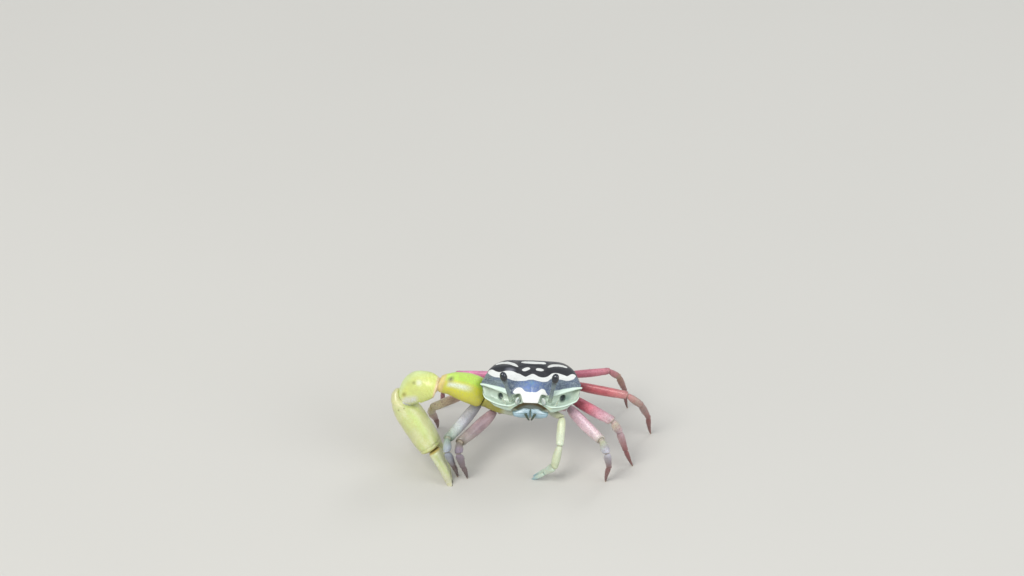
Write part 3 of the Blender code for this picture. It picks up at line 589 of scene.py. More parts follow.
class Nodes:
    """Adds nodes to one tree. Most calls give an output socket of the new node, to be linked on."""

    def __init__(self, tree):
        self.tree = tree

    def fill(self, sockets, values):
        """Give sockets their values, each a plain value or another node's output."""
        for key, value in values.items():
            if isinstance(value, bpy.types.NodeSocket):
                self.tree.links.new(value, sockets[key])
            else:
                sockets[key].default_value = value

    def node(self, kind, links=None, **options):
        node = self.tree.nodes.new(kind)
        for key, value in options.items():
            setattr(node, key, value)
        self.fill(node.inputs, links or {})
        return node

    def out(self, kind, links=None, output=0, **options):
        return self.node(kind, links, **options).outputs[output]

    def group(self, tree, **links):
        return self.node("ShaderNodeGroup", links, node_tree=tree).outputs

    def math(self, operation, *values):
        return self.out("ShaderNodeMath", dict(enumerate(values)), operation=operation)

    def scaled(self, vector, scale):
        return self.out("ShaderNodeVectorMath", {0: vector, "Scale": scale}, operation="SCALE")

    def ranged(self, value, span, to=(0.0, 1.0), **options):
        """A value's place in a span, turned to another span."""
        return self.out("ShaderNodeMapRange", {"Value": value, "From Min": span[0], "From Max": span[1],
                                               "To Min": to[0], "To Max": to[1]}, **options)

    def place(self):
        node = self.tree.nodes.get("Texture Coordinate") or self.node("ShaderNodeTexCoord")
        return node.outputs["Object"]

    def noise(self, scale, detail, roughness=0.5):
        return self.out("ShaderNodeTexNoise", {"Vector": self.place(), "Scale": scale, "Detail": detail,
                                               "Roughness": roughness})

    def cells(self, scale):
        return self.out("ShaderNodeTexVoronoi", {"Vector": self.place(), "Scale": scale}, "Distance")

    def attribute(self, name, output="Fac"):
        """A value that the points of a mesh hold, for a shader tree."""
        return self.out("ShaderNodeAttribute", output=output, attribute_name=name)

    def painted(self, base, colour, cover):
        return self.out("ShaderNodeMix", {0: cover, 6: base, 7: colour}, 2, data_type="RGBA")

    def held(self, name, kind="FLOAT"):
        """A value that the points of a mesh hold, for a geometry tree."""
        return self.out("GeometryNodeInputNamedAttribute", {"Name": name}, "Attribute", data_type=kind)

    def random(self, low, high, seed):
        return self.out("FunctionNodeRandomValue", {2: low, 3: high, "Seed": seed}, 1, data_type="FLOAT")

    def scattered(self, points, instance, rotation, scale):
        return self.out("GeometryNodeInstanceOnPoints", {"Points": points, "Instance": instance,
                                                         "Rotation": rotation, "Scale": scale})

    def realised(self, source, matter):
        """What a geometry tree made, realised, given its material and shaded smooth."""
        real = self.out("GeometryNodeRealizeInstances", {"Geometry": source})
        painted = self.out("GeometryNodeSetMaterial", {"Geometry": real, "Material": matter})
        return self.out("GeometryNodeSetShadeSmooth", {"Geometry": painted})


def tree_maker(name, kind, inputs, outputs):
    """Turn a function that wires a tree's outputs into one that gives the tree, built when first needed."""
    def add_socket(tree, label, in_out, default=None):
        number = "Int" if isinstance(default, int) else "Float"
        form = label if label in ("Geometry", "Material") else number
        socket = tree.interface.new_socket(label, in_out=in_out, socket_type="NodeSocket" + form)
        if default is not None:
            socket.default_value = default

    def wrapped(wire):
        def tree_of():
            tree = bpy.data.node_groups.get(name)
            if not tree:
                tree = bpy.data.node_groups.new(name, kind)
                for label, default in inputs.items():
                    add_socket(tree, label, "INPUT", default)
                for label in outputs:
                    add_socket(tree, label, "OUTPUT")
                nodes = Nodes(tree)
                results = wire(nodes, nodes.node("NodeGroupInput").outputs)
                nodes.node("NodeGroupOutput", dict(zip(outputs, results)))
                if "Geometry" in outputs:
                    tree.is_modifier = True
            return tree
        return tree_of
    return wrapped


def geometry_tree(name, **inputs):
    inputs = {label.replace("_", " "): default for label, default in inputs.items()}
    return tree_maker(name, "GeometryNodeTree", {"Geometry": None, **inputs, "Material": None}, ("Geometry",))


@geometry_tree("Bristles", Density=1.0e6, Length=0.0004, Thickness=3.0e-5, Lean=1.0, Seed=0)
def bristle_tree(nodes, given):
    """Short hairs scattered where a skin's own mask allows, leaning along its flow."""
    dense = nodes.math("MULTIPLY", nodes.held("bristle"), given["Density"])
    points = nodes.node("GeometryNodeDistributePointsOnFaces",
                        {"Mesh": given["Geometry"], "Density": dense, "Seed": given["Seed"]}).outputs
    leaning = nodes.scaled(nodes.held("flow", "FLOAT_VECTOR"), given["Lean"])
    way = nodes.out("ShaderNodeVectorMath", {0: points["Normal"], 1: leaning}, operation="ADD")
    turn = nodes.out("FunctionNodeAlignRotationToVector", {"Vector": way}, axis="Z")
    hair = nodes.out("GeometryNodeMeshCone", {"Vertices": HAIR_SIDES, "Side Segments": HAIR_RINGS - 1,
                                              "Radius Top": 4.0e-6, "Radius Bottom": given["Thickness"],
                                              "Depth": given["Length"]})
    placed = nodes.scattered(points["Points"], hair, turn, nodes.random(0.55, 1.15, given["Seed"]))
    return [nodes.realised(placed, given["Material"])]


@geometry_tree("Grains", Density=4.0e6, Size=9.0e-5, Flatness=0.5, Seed=0)
def grain_tree(nodes, given):
    """Low rounded grains scattered where a skin's own mask allows."""
    points = nodes.node("GeometryNodeDistributePointsOnFaces",
                        {"Mesh": given["Geometry"], "Distance Min": given["Size"],
                         "Density Max": given["Density"], "Density Factor": nodes.held("bristle"),
                         "Seed": given["Seed"]}, distribute_method="POISSON").outputs
    ball = nodes.out("GeometryNodeMeshIcoSphere", {"Radius": given["Size"], "Subdivisions": 1})
    squat = nodes.out("ShaderNodeCombineXYZ", {"X": 1.0, "Y": 1.0, "Z": given["Flatness"]})
    flat = nodes.out("GeometryNodeTransform", {"Geometry": ball, "Scale": squat})
    size = nodes.random(0.45, 1.0, given["Seed"])
    placed = nodes.scattered(points["Points"], flat, points["Rotation"], size)
    return [nodes.realised(placed, given["Material"])]


@geometry_tree("Bead row", Count=20, Size_spread=0.2, Height=1.0, Fineness=1, Seed=0)
def bead_tree(nodes, given):
    """A row of rounded beads along a path, each as large as the path is thick there."""
    even = nodes.out("GeometryNodeResampleCurve", {"Curve": given["Geometry"], "Count": given["Count"]})
    points = nodes.node("GeometryNodeCurveToPoints", {"Curve": even}, mode="EVALUATED").outputs
    smallest = nodes.math("SUBTRACT", 1.0, given["Size spread"])
    varied = nodes.random(smallest, 1.0, given["Seed"])
    scale = nodes.math("MULTIPLY", nodes.out("GeometryNodeInputRadius"), varied)
    tall = nodes.math("MULTIPLY", scale, given["Height"])
    full = nodes.out("ShaderNodeCombineXYZ", {"X": tall, "Y": scale, "Z": scale})
    ball = nodes.out("GeometryNodeMeshIcoSphere", {"Radius": 1.0, "Subdivisions": given["Fineness"]})
    placed = nodes.scattered(points["Points"], ball, points["Rotation"], full)
    return [nodes.realised(placed, given["Material"])]


@geometry_tree("Feeler", Joints=12, Thickness=5.0e-4, Tip_share=0.3, Waist=0.12)
def feeler_tree(nodes, given):
    """A tapering feeler of short joints along a path."""
    count = nodes.math("MULTIPLY", given["Joints"], float(JOINT_SAMPLES))
    even = nodes.out("GeometryNodeResampleCurve", {"Curve": given["Geometry"], "Count": count})
    share = nodes.out("GeometryNodeSplineParameter", output="Factor")
    taper = nodes.ranged(share, (0.0, 1.0), (1.0, given["Tip share"]))
    phase = nodes.math("MULTIPLY", nodes.math("MULTIPLY", share, given["Joints"]), math.pi)
    waist = nodes.math("MULTIPLY", nodes.math("ABSOLUTE", nodes.math("COSINE", phase)), given["Waist"])
    wide = nodes.math("MULTIPLY", nodes.math("SUBTRACT", 1.0, waist), taper)
    radius = nodes.math("MULTIPLY", wide, nodes.math("MULTIPLY", given["Thickness"], 0.5))
    ring = nodes.out("GeometryNodeCurvePrimitiveCircle", {"Resolution": 12, "Radius": 1.0})
    tube = nodes.out("GeometryNodeCurveToMesh", {"Curve": even, "Profile Curve": ring, "Scale": radius,
                                                 "Fill Caps": True})
    return [nodes.realised(tube, given["Material"])]


def with_tree(source, tree, values, name, matter):
    """The plain mesh that a tree makes of a source, which stays if it is a mesh and goes if it is a path."""
    worker = source
    if source.type == "MESH":
        worker = source.copy()
        bpy.context.scene.collection.objects.link(worker)
    modifier = worker.modifiers.new(name, "NODES")
    modifier.node_group = tree
    for item in tree.interface.items_tree:
        if item.in_out == "INPUT" and item.name in values:
            modifier[item.identifier] = values[item.name]
        elif item.name == "Material":
            modifier[item.identifier] = matter
    return baked(worker, name, matter)


def hair_patches(mesh):
    """A UV map that holds every hair as a small patch at its root's place on the unwrap of its skin."""
    roots = [value.vector for value in mesh.attributes["unwrap"].data]
    spots = []
    for loop in mesh.loops:
        row, column = divmod(loop.vertex_index % (HAIR_SIDES * HAIR_RINGS), HAIR_SIDES)
        root = roots[loop.vertex_index]
        spots += (root.x + HAIR_PATCH * column / HAIR_SIDES, root.y + HAIR_PATCH * row / HAIR_RINGS)
    mesh.uv_layers.new(name="OFBake").data.foreach_set("uv", spots)


# Materials
SPAN = (0.3, 0.7)
SMOOTH = {"interpolation_type": "SMOOTHSTEP"}


@tree_maker("Shell grain", "ShaderNodeTree", {"Scale": 3000.0, "Pits": 0.5}, ("Height", "Variation", "Fine"))
def grain_group(nodes, given):
    """Fine shell grain: small pits over a soft unevenness, with a slow variation of colour."""
    fine = nodes.noise(given["Scale"], 4.0, 0.6)
    wide = nodes.noise(nodes.math("MULTIPLY", given["Scale"], 0.16), 3.0, 0.55)
    pits = nodes.ranged(nodes.cells(given["Scale"]), (0.05, 0.45), **SMOOTH)
    return nodes.out("ShaderNodeMix", {"Factor": given["Pits"], 2: fine, 3: pits}), wide, fine


@tree_maker("Freckles", "ShaderNodeTree", {"Scale": 2500.0, "Amount": 0.5}, ("Mask",))
def freckle_group(nodes, given):
    """Small irregular freckles as a mask."""
    edge = nodes.math("SUBTRACT", 0.7, given["Amount"])
    span = (edge, nodes.math("ADD", edge, 0.14))
    return [nodes.ranged(nodes.noise(given["Scale"], 2.0), span, **SMOOTH)]


@tree_maker("Marking edge", "ShaderNodeTree",
            {"Distance": 0.0, "Softness": 0.06, "Waver": 0.1, "Scale": 2200.0}, ("Mask",))
def edge_group(nodes, given):
    """A marking with a slightly wavering edge, from a point's distance inside it."""
    centred = nodes.math("SUBTRACT", nodes.noise(given["Scale"], 2.0), 0.5)
    moved = nodes.math("ADD", given["Distance"], nodes.math("MULTIPLY", centred, given["Waver"]))
    low = nodes.math("MULTIPLY", given["Softness"], -1.0)
    return [nodes.ranged(moved, (low, given["Softness"]), **SMOOTH)]


def new_matter(name):
    """A material, the maker of its nodes and its shader's inputs."""
    made = bpy.data.materials.new(name)
    made.use_nodes = True
    return made, Nodes(made.node_tree), made.node_tree.nodes["Principled BSDF"].inputs


def shell_matter(name, scale=3200.0, pits=0.5, height=1.2e-5, roughness=(0.3, 0.5), contrast=0.25,
                 freckle=None, freckle_scale=9000.0, freckle_amount=0.25, freckle_key=None, coat=0.25,
                 subsurface=0.0, marks=()):
    """A hard shell coloured by its points' tint, with grain, mottling, freckles and any markings over it."""
    made, nodes, shader = new_matter(name)

    grain = nodes.group(grain_group(), Scale=scale, Pits=pits)
    dark = nodes.ranged(grain["Variation"], SPAN, (1.0 - contrast, 1.0 + contrast * 0.45))
    colour = nodes.scaled(nodes.attribute("tint", "Color"), dark)
    if freckle:
        spots = nodes.group(freckle_group(), Scale=freckle_scale, Amount=freckle_amount)["Mask"]
        faint = nodes.math("MULTIPLY", spots, nodes.attribute(freckle_key) if freckle_key else 0.5)
        colour = nodes.painted(colour, (*freckle, 1.0), faint)
    for key, mark_tone, softness, waver in marks:
        inside = nodes.attribute(key)
        edge = nodes.group(edge_group(), Distance=inside, Softness=softness, Waver=waver)["Mask"]
        paint = nodes.scaled(mark_tone, nodes.ranged(grain["Fine"], SPAN, (0.92, 1.04)))
        colour = nodes.painted(colour, paint, edge)
    relief = nodes.out("ShaderNodeBump", {"Height": grain["Height"], "Strength": 1.0, "Distance": height})
    nodes.fill(shader, {"Base Color": colour, "Roughness": nodes.ranged(grain["Variation"], SPAN, roughness),
                        "Normal": relief, "Coat Weight": coat, "Coat Roughness": 0.18})
    if subsurface:
        nodes.fill(shader, {"Subsurface Weight": subsurface, "Subsurface Radius": (1.0, 0.6, 0.4),
                            "Subsurface Scale": 0.0004})
    return made


# Settings
def colour_setting(name, description, default):
    return FloatVectorProperty(name=name, description=description, subtype="COLOR", size=3, min=0.0, max=1.0,
                               default=default)


def length_setting(name, description, default, low, high):
    """A length whose default and limits are in millimetres."""
    return FloatProperty(name=name, description=description, default=default * MM, min=low * MM,
                         max=high * MM, unit="LENGTH", precision=6)


def settings(name):
    return getattr(bpy.context.scene, "fiddler_" + name)


def shown(piece, slot, *nodes):
    """Hand a finished piece to the frame."""
    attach(piece, BODY)
    if nodes:
        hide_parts(*nodes)
    return piece


# The shell
def front_y(across):
    """How far forward the shell's front edge reaches, its lobe cut in more sharply than in the solid."""
    if across > LOBE_BASE_HALF_WIDTH:
        share = (across - LOBE_BASE_HALF_WIDTH) / (HALF_WIDTH - LOBE_BASE_HALF_WIDTH)
        return -5.0 + (CORNER_FRONT_Y + 5.0) * share**1.3
    return FRONT_TIP_Y + (-5.0 - FRONT_TIP_Y) * ramp(across, 1.2, 1.95)


def rear_y(across):
    """How far back the shell reaches."""
    if across <= REAR_HALF_WIDTH:
        return REAR_Y - 0.12 * (1.0 - (across / REAR_HALF_WIDTH) ** 2)
    share = (across - REAR_HALF_WIDTH) / (HALF_WIDTH - REAR_HALF_WIDTH)
    return CORNER_REAR_Y + (REAR_Y - CORNER_REAR_Y) * max(0.0, 1.0 - share**1.9) ** 0.74


def edge_across(y):
    """How far out the shell's side edge stands, the other way round from rear_y."""
    share = held_between((y - CORNER_REAR_Y) / (REAR_Y - CORNER_REAR_Y))
    return REAR_HALF_WIDTH + (HALF_WIDTH - REAR_HALF_WIDTH) * (1.0 - share ** (1.0 / 0.74)) ** (1.0 / 1.9)


def shell_height(across, y):
    """Height of the shell's upper face."""
    height = SHELL_TOP - 0.55 * (across / 9.0) ** 2
    height -= 0.85 * max(0.0, (y - 0.5) / 5.0) ** 2
    middle = 2.7 * max(0.0, (-2.8 - y) / 3.1) ** 2
    outer = 1.45 * max(0.0, (-2.6 - y) / 2.3) ** 2
    return height - middle - (outer - middle) * ramp(across, LOBE_HALF_WIDTH, LOBE_BASE_HALF_WIDTH)


def brow_y(across):
    """How far forward the lower rim of the orbit reaches."""
    return -5.95 + 1.7 * (max(0.0, across - 1.5) / 7.3) ** 1.8


def brow_height(across):
    """Height of the lower rim of the orbit."""
    outer = max(0.0, (across - 5.0) / 4.05)
    inner = max(0.0, (5.0 - across) / 3.5)
    return 14.1 + 0.85 * outer**2 + 0.25 * inner**2


def shell_floor(across, y):
    """Height of the shell's lower edge: low beside the mouth, and arched over the roots of the legs."""
    front = 12.15 + 0.25 * max(0.0, across - 4.0)
    rear = SHELL_FLOOR + 0.9 * ramp(across, 3.4, 5.0) + 0.35 * max(0.0, across - 5.0) ** 1.35
    rear += 0.8 * ramp(y, 0.8, 3.6) * ramp(across, 1.8, 3.4)
    return front + (rear - front) * ramp(y, -5.0, -4.3)


def shell_profile(x):
    """One lengthwise section of the shell: over its back, down its face with the orbit, and under it."""
    across = abs(x)
    front, rear = front_y(across), rear_y(across)
    back_line = [rear + (front - rear) * step / TOP_STEPS for step in range(TOP_STEPS + 1)]
    ring = [(y, shell_height(across, y)) for y in back_line]
    top, edge = ring[0][1], ring[-1][1]
    recess = ramp(across, 1.5, 3.0) * (1.0 - 0.75 * ramp(across, 7.4, HALF_WIDTH))
    rim_y = min(brow_y(across), rear - 0.35)
    rim = min(brow_height(across) + 0.42 * (1.0 - ramp(across, 2.6, 3.8)),
              edge - 0.2 - 0.3 * ramp(across, 1.4, 2.6))
    depth = 1.35 * recess
    lip = min(0.4, (edge - rim) * 0.3)
    fall = rim - 0.25 - min(shell_floor(across, rim_y), rim - 0.45)
    back = min(1.5, (rear - rim_y) * 0.4)
    under = min(1.0, (rear - rim_y) * 0.3)
    ring += [(front + 0.1, edge - lip), (front + 0.1 + depth, edge - lip - 0.1),
             ((front + rim_y) / 2 + 0.1 + depth, (edge + rim) / 2 - lip * 0.5),
             (rim_y + 0.25 + depth * 0.8, rim + 0.05), (rim_y + 0.02, rim + 0.04),
             (rim_y, rim - 0.18 - 0.07 * ramp(across, 2.6, 3.8)),
             (rim_y + 0.08 * back, rim - 0.25 - 0.35 * fall), (rim_y + 0.32 * back, rim - 0.25 - 0.7 * fall)]
    for step in range(6):
        y = rim_y + back + (rear - under - rim_y - back) * step / 5
        ring.append((y, min(shell_floor(across, y), rim - 0.3)))
    floor = ring[-1][1]
    ring += [(rear - 0.4 * under, floor + 0.45 * (top - floor)),
             (rear - 0.05 * under, floor + 0.82 * (top - floor))]
    return [Vector((x, y, z)) for y, z in ring]


def fine_profile(x):
    """A section of the shell with its corners eased, and each point's stand in the coarse section."""
    coarse = shell_profile(x)
    places, stands = [], []
    for index in range(len(coarse)):
        before, here, there, after = (coarse[(index + k) % len(coarse)] for k in (-1, 0, 1, 2))
        splits = next(count for end, count in SPLITS if index < end)
        for split in range(splits):
            t = split / splits
            places.append(bent(here, there, (there - before) * CORNER_EASE, (after - here) * CORNER_EASE, t))
            stands.append(index + t)
    return places, stands


def eased(place, stand):
    """A place of the shell with its back and side edges rounded, its sides leant in, its corners pointed."""
    x, y, z = place
    across, sign = abs(x), math.copysign(1.0, x)
    if stand < TOP_STEPS or stand > REAR_STAND:
        back, out = max(0.0, rear_y(across) - y), max(0.0, edge_across(y) - across)
        inside = back * out / math.hypot(back, out) if back > 0.0 and out > 0.0 else 0.0
        fall = max(0.0, 1.0 - inside / EDGE_ROUND)
        drop = 0.62 * EDGE_ROUND * (1.0 - math.sqrt(1.0 - fall**2)) * ramp(y, -3.4, -1.0)
        z -= drop * (stand - REAR_STAND if stand > REAR_STAND else 1.0)
    x -= sign * across * SIDE_LEAN * held_between((17.0 - z) / 4.0) * ramp(across, 4.0, 8.5)
    tooth = bump(stand, TOP_STEPS + 0.3, 0.9) * ramp(across, 8.2, HALF_WIDTH)
    end = max(0.0, (across - 8.4) / (HALF_WIDTH - 8.4)) ** 2 * ramp(stand, 14.6, 16.0)
    end *= 1.0 - ramp(stand, 28.0, 29.5)
    y += (CORNER_Y - y) * 0.35 * end - 0.12 * tooth
    z += (CORNER_Z - z) * 0.3 * end
    return Vector((x + sign * CORNER_TOOTH * tooth, y, z))


def eye_hollow(x, stand):
    """The small hollow in the back of each eye trench, which is painted dark as shade."""
    middle, wide = EYE_HOLLOWS["right" if x < 0.0 else "left"]
    return 1.0 - ramp(math.hypot((abs(x) - middle) / wide, (stand - EYE_HOLLOW_STAND) / 0.8), 0.4, 1.0)


def feeler_socket(x, z):
    """The hollow that holds each inner feeler."""
    return bump(math.hypot(abs(x) - FEELER_SOCKET[0], 0.8 * (z - FEELER_SOCKET[1])), 0.0, 1.0)


def below_arch(x, z):
    return ARCH_TOP - ARCH_FALL * x * x - z


def mouth_reach(x, z):
    """How far a place lies inside the arched opening over the mouth plates."""
    return min(MOUTH_HALF_WIDTH - 0.2 - abs(x), below_arch(x, z))


def groove(x, y):
    """Depth of the furrows that part the stomach, heart and gill regions of the shell's back."""
    across = abs(x)
    lines = [depth * bump(to_stroke(across, y, line), 0.0, reach) for depth, reach, line in FURROWS]
    return lines[0] + lines[1] + lines[2] + 0.05 * bump(across, 0.0, 0.3) * ramp(-y, 2.8, 4.4)


def white_reach(x, y):
    """How far a place on the shell's back lies inside a white marking."""
    if x <= WAVY_BAND[0][0] or x >= WAVY_BAND[-1][0]:
        band = -0.2 - max(WAVY_BAND[0][0] - x, x - WAVY_BAND[-1][0])
    else:
        back_edge, front_edge = through(WAVY_BAND, x)
        band = min(back_edge - y, y - front_edge) * 0.85
    return max([band] + [to_stroke(x, y, stroke) + 0.08 for stroke in WHITE_STROKES])


def shell_values(place, stand, look):
    """Tint, markings and grain mask of one point of the shell, from its level place and its stand."""
    x, y = place.xy
    across = abs(x)
    wander = noise.noise(Vector((x * 0.7, y * 0.7, 3.0)))
    slate = layered(
        look["slate"], (look["lavender"], bump(across, 0.0, 3.8) * ramp(-y, 2.4, 3.6)),
        (look["teal"], 0.6 * bump(math.hypot(x - 0.1, (y + 3.45) * 0.8), 0.0, 0.6)),
        (look["moss"], 0.8 * ramp(wander, -0.4, 0.3) * ramp(across, 3.4, 5.6) * (0.4 if x > 0.0 else 1.0)))
    in_front = ramp(sum(through(WAVY_BAND, held_between(x, -7.6, 7.6))) / 2 - y, -0.3, 0.3)
    tint = layered(
        look["black"], (slate, in_front),
        (look["grey"], 0.8 * ramp(y, 3.7, 4.8) + 0.35 * ramp(across, 6.0, 8.4) * ramp(y, -1.0, 2.0)),
        (look["smear"], 0.6 * bump(math.hypot(0.8 * (x + 3.9), y - 0.4), 0.0, 1.0)))
    rim = -1.0
    if stand > TOP_STEPS - 1.6:
        if across > LOBE_BASE_HALF_WIDTH:
            rim = min((stand - (TOP_STEPS - 0.55)) * 0.7, (TOP_STEPS + 1.2 - stand) * 0.5,
                      (across - 3.65) * 0.35)
        tint = mixed(tint, face_tone(place, stand, look), ramp(stand, TOP_STEPS - 0.2, TOP_STEPS + 0.4))
        rim = max(rim, min((0.6 - abs(stand - 18.35)) * 0.3, (across - 1.5) * 0.3))
    lobe_edge = through(LOBE_WHITE, held_between(x, -3.5, 3.5))[0]
    lobe = min(lobe_edge - y, straight(LOBE_HALF, y)[0] - across)
    if stand > (TOP_STEPS + 0.55 if across < 1.5 else TOP_STEPS + 0.25):
        lobe = -0.3
    side = ramp(across, 6.4, 7.6) * (1.0 - ramp(stand, 0.4, 2.6))
    cheek = bump(stand, 20.2, 1.6) * ramp(across, 3.4, 4.4)
    white = white_reach(x, y) if stand < TOP_STEPS + 0.2 else -1.0
    return {"tint": tint, "white": max(white, lobe), "rim": rim,
            "speckle": 0.55 * in_front * (1.0 - ramp(stand, TOP_STEPS - 0.8, TOP_STEPS - 0.3)),
            "bristle": held_between(side + 0.7 * cheek)}


def face_tone(place, stand, look):
    """Colour of the shell below its front edge: socket, eye hollow, cheek, mouth and underside, much of it
    painted shade.
    """
    x, y, z = place
    across = abs(x)
    outer = ramp(across, 3.0, 4.0)
    # Where the opening over the mouth plates takes painted shade
    gap = ramp(mouth_reach(x, z), -0.03, 0.1) * ramp(stand, 13.6, 13.9) * (1.0 - ramp(stand, 21.5, 22.5))
    return layered(
        look["trench"], (look["mint"], ramp(stand, 15.4, 17.2) * 0.6),
        (look["shade"], 0.9 * bump(stand, 14.9, 1.0) * ramp(across, 3.0, 3.8)),
        # Painted shade trailing out from the right eye hollow
        (look["tail"], 0.85 * (bump(across, 6.5, 1.5) * bump(stand, 16.6, 0.9) * (1.0 if x > 0.0 else 0.25))),
        # Painted shade in each eye hollow
        (look["hollow_shade"], eye_hollow(x, stand)),
        # The feeler sockets' own grey-green, darkened as painted shade of the recess
        (look["socket"], 0.8 * feeler_socket(x, z)),
        (mixed(look["pale"], look["mint"], 0.8 * bump(stand, 20.1, 0.9)), ramp(stand, 18.7, 19.1)),
        (look["shade"], max(0.5 * bump(stand, 19.2, 0.4) * outer, 0.8 * ramp(stand, 20.3, 21.6))),
        (look["straw"], 0.6 * bump(across, 3.5, 0.7) * bump(stand, 19.0, 1.4)),
        (mixed(look["pale"], look["grey"], 0.7 * ramp(y, -1.5, 3.0)), ramp(stand, 21.6, 23.4)),
        (look["grey"], ramp(stand, 27.5, 28.4)),
        # Painted shade in the opening over the mouth plates, dark at its arch and lighter lower down
        (mixed(look["gap"], look["muzzle"], ramp(below_arch(x, z), 1.25, 1.95)), gap))


def shell_move(place, stand, relief):
    """How far a point of the shell moves out: unevenness, swollen regions, furrows and raised rims."""
    x, y = place.xy
    across = abs(x)
    top = (1.0 - ramp(stand, TOP_STEPS - 0.8, TOP_STEPS)) * ramp(stand, 0.0, 0.8)
    move = 0.03 * noise.noise(place * 0.9) + 0.012 * noise.noise(place * 4.0)
    move += top * (0.2 * bump(math.hypot((across - 5.0) / 1.3, y - 1.2), 0.0, 2.6)
                   + 0.1 * bump(math.hypot(x, y + 1.4), 0.0, 2.4) - groove(x, y) * relief)
    upper_rim = bump(stand, TOP_STEPS + 0.35, 0.9)
    upper_rim *= ramp(across, LOBE_BASE_HALF_WIDTH - 0.5, LOBE_BASE_HALF_WIDTH + 0.5)
    return move + (0.1 * upper_rim + 0.09 * (bump(stand, LOWER_RIM, 0.8) * ramp(across, 1.6, 2.6)))


def carved(vertex, known, stand):
    """Press the eye hollows, the feelers' sockets and the mouth's arch into the shell's face."""
    vertex.co.y += 0.5 * eye_hollow(known.x, stand)
    x, y, z = vertex.co
    socket = feeler_socket(x, z)
    if socket and y < -4.2:
        vertex.co.y += 0.45 * socket
        y = vertex.co.y
    inside = mouth_reach(x, z)
    if inside > -0.2 and y < MOUTH_BACK_Y and stand > TOP_STEPS:
        vertex.co.y += (MOUTH_BACK_Y - y) * ramp(inside, -0.16, 0.14)


def shell_surface(chosen, matter):
    stations = [0.0]
    while stations[-1] < HALF_WIDTH - 0.3:
        stations.append(stations[-1] + (0.1 if stations[-1] < 7.8 else 0.07))
    stations += [HALF_WIDTH - 0.2, HALF_WIDTH - 0.12, HALF_WIDTH - 0.05, HALF_WIDTH]
    shaped = bmesh.new()
    rows, level, stands = [], [], []
    for x in [-x for x in reversed(stations[1:])] + stations:
        places, stood = fine_profile(x)
        rows.append([shaped.verts.new(eased(p, s)) for p, s in zip(places, stood)])
        level += places
        stands += stood
    for row, above in zip(rows, rows[1:]):
        for k in range(len(row)):
            after = (k + 1) % len(row)
            shaped.faces.new((row[k], row[after], above[after], above[k]))
    for row in (rows[0], rows[-1]):
        pole = shaped.verts.new(middle_of([v.co for v in row]))
        level.append(Vector((math.copysign(HALF_WIDTH, pole.co.x), CORNER_Y, CORNER_Z)))
        stands.append(10.0)
        for k in range(len(row)):
            shaped.faces.new((pole, row[k], row[(k + 1) % len(row)]))
    bmesh.ops.recalc_face_normals(shaped, faces=shaped.faces)
    shaped.normal_update()
    moves = [shell_move(v.co.copy(), stand, chosen.relief) for v, stand in zip(shaped.verts, stands)]
    for vertex, move, stand, known in zip(shaped.verts, moves, stands, level):
        vertex.co += vertex.normal * move
        carved(vertex, known, stand)
        vertex.co = (HELD @ vertex.co + OFFSET) * MM
    mesh = bpy.data.meshes.new("shell")
    shaped.to_mesh(mesh)
    shaped.free()
    look = {"black": tuple(chosen.ground), "slate": tuple(chosen.slate), "lavender": tuple(chosen.lavender),
            "mint": tuple(chosen.rim), **SHELL_TONES}
    values = [shell_values(p, s, look) for p, s in zip(level, stands)]
    for key in values[0]:
        write_values(mesh, key, [one[key] for one in values])
    return finished("shell", mesh, matter)


def rim_path(side, stand, start, end, out, count=60):
    """Places along the shell where its section has a given stand, moved out from the shell a little."""
    places = []
    for step in range(count + 1):
        points, stands = fine_profile(SIGNS[side] * (start + (end - start) * step / count))
        nearest = min(range(len(stands)), key=lambda k: abs(stands[k] - stand))
        places.append(eased(points[nearest], stands[nearest]) - Vector((0.0, out, 0.0)))
    return on_body(places)


class ShellSettings(bpy.types.PropertyGroup):
    """Colours and relief of the banded shell."""

    ground: colour_setting("Ground", "Darkest colour between the bands", tone(20, 22, 30))
    slate: colour_setting("Slate", "Dark blue of the front band", tone(88, 102, 126))
    lavender: colour_setting("Lavender", "Lighter blue in the middle of the front band", tone(104, 130, 186))
    white: colour_setting("White", "Colour of the bands, strokes and front lobe", tone(238, 240, 236))
    rim: colour_setting("Rim", "Colour of the raised rims round the eye hollows", tone(222, 242, 228))
    relief: FloatProperty(name="Relief", description="Depth of the furrows as a share of their usual depth",
                          default=1.0, min=0.0, max=3.0, subtype="FACTOR")


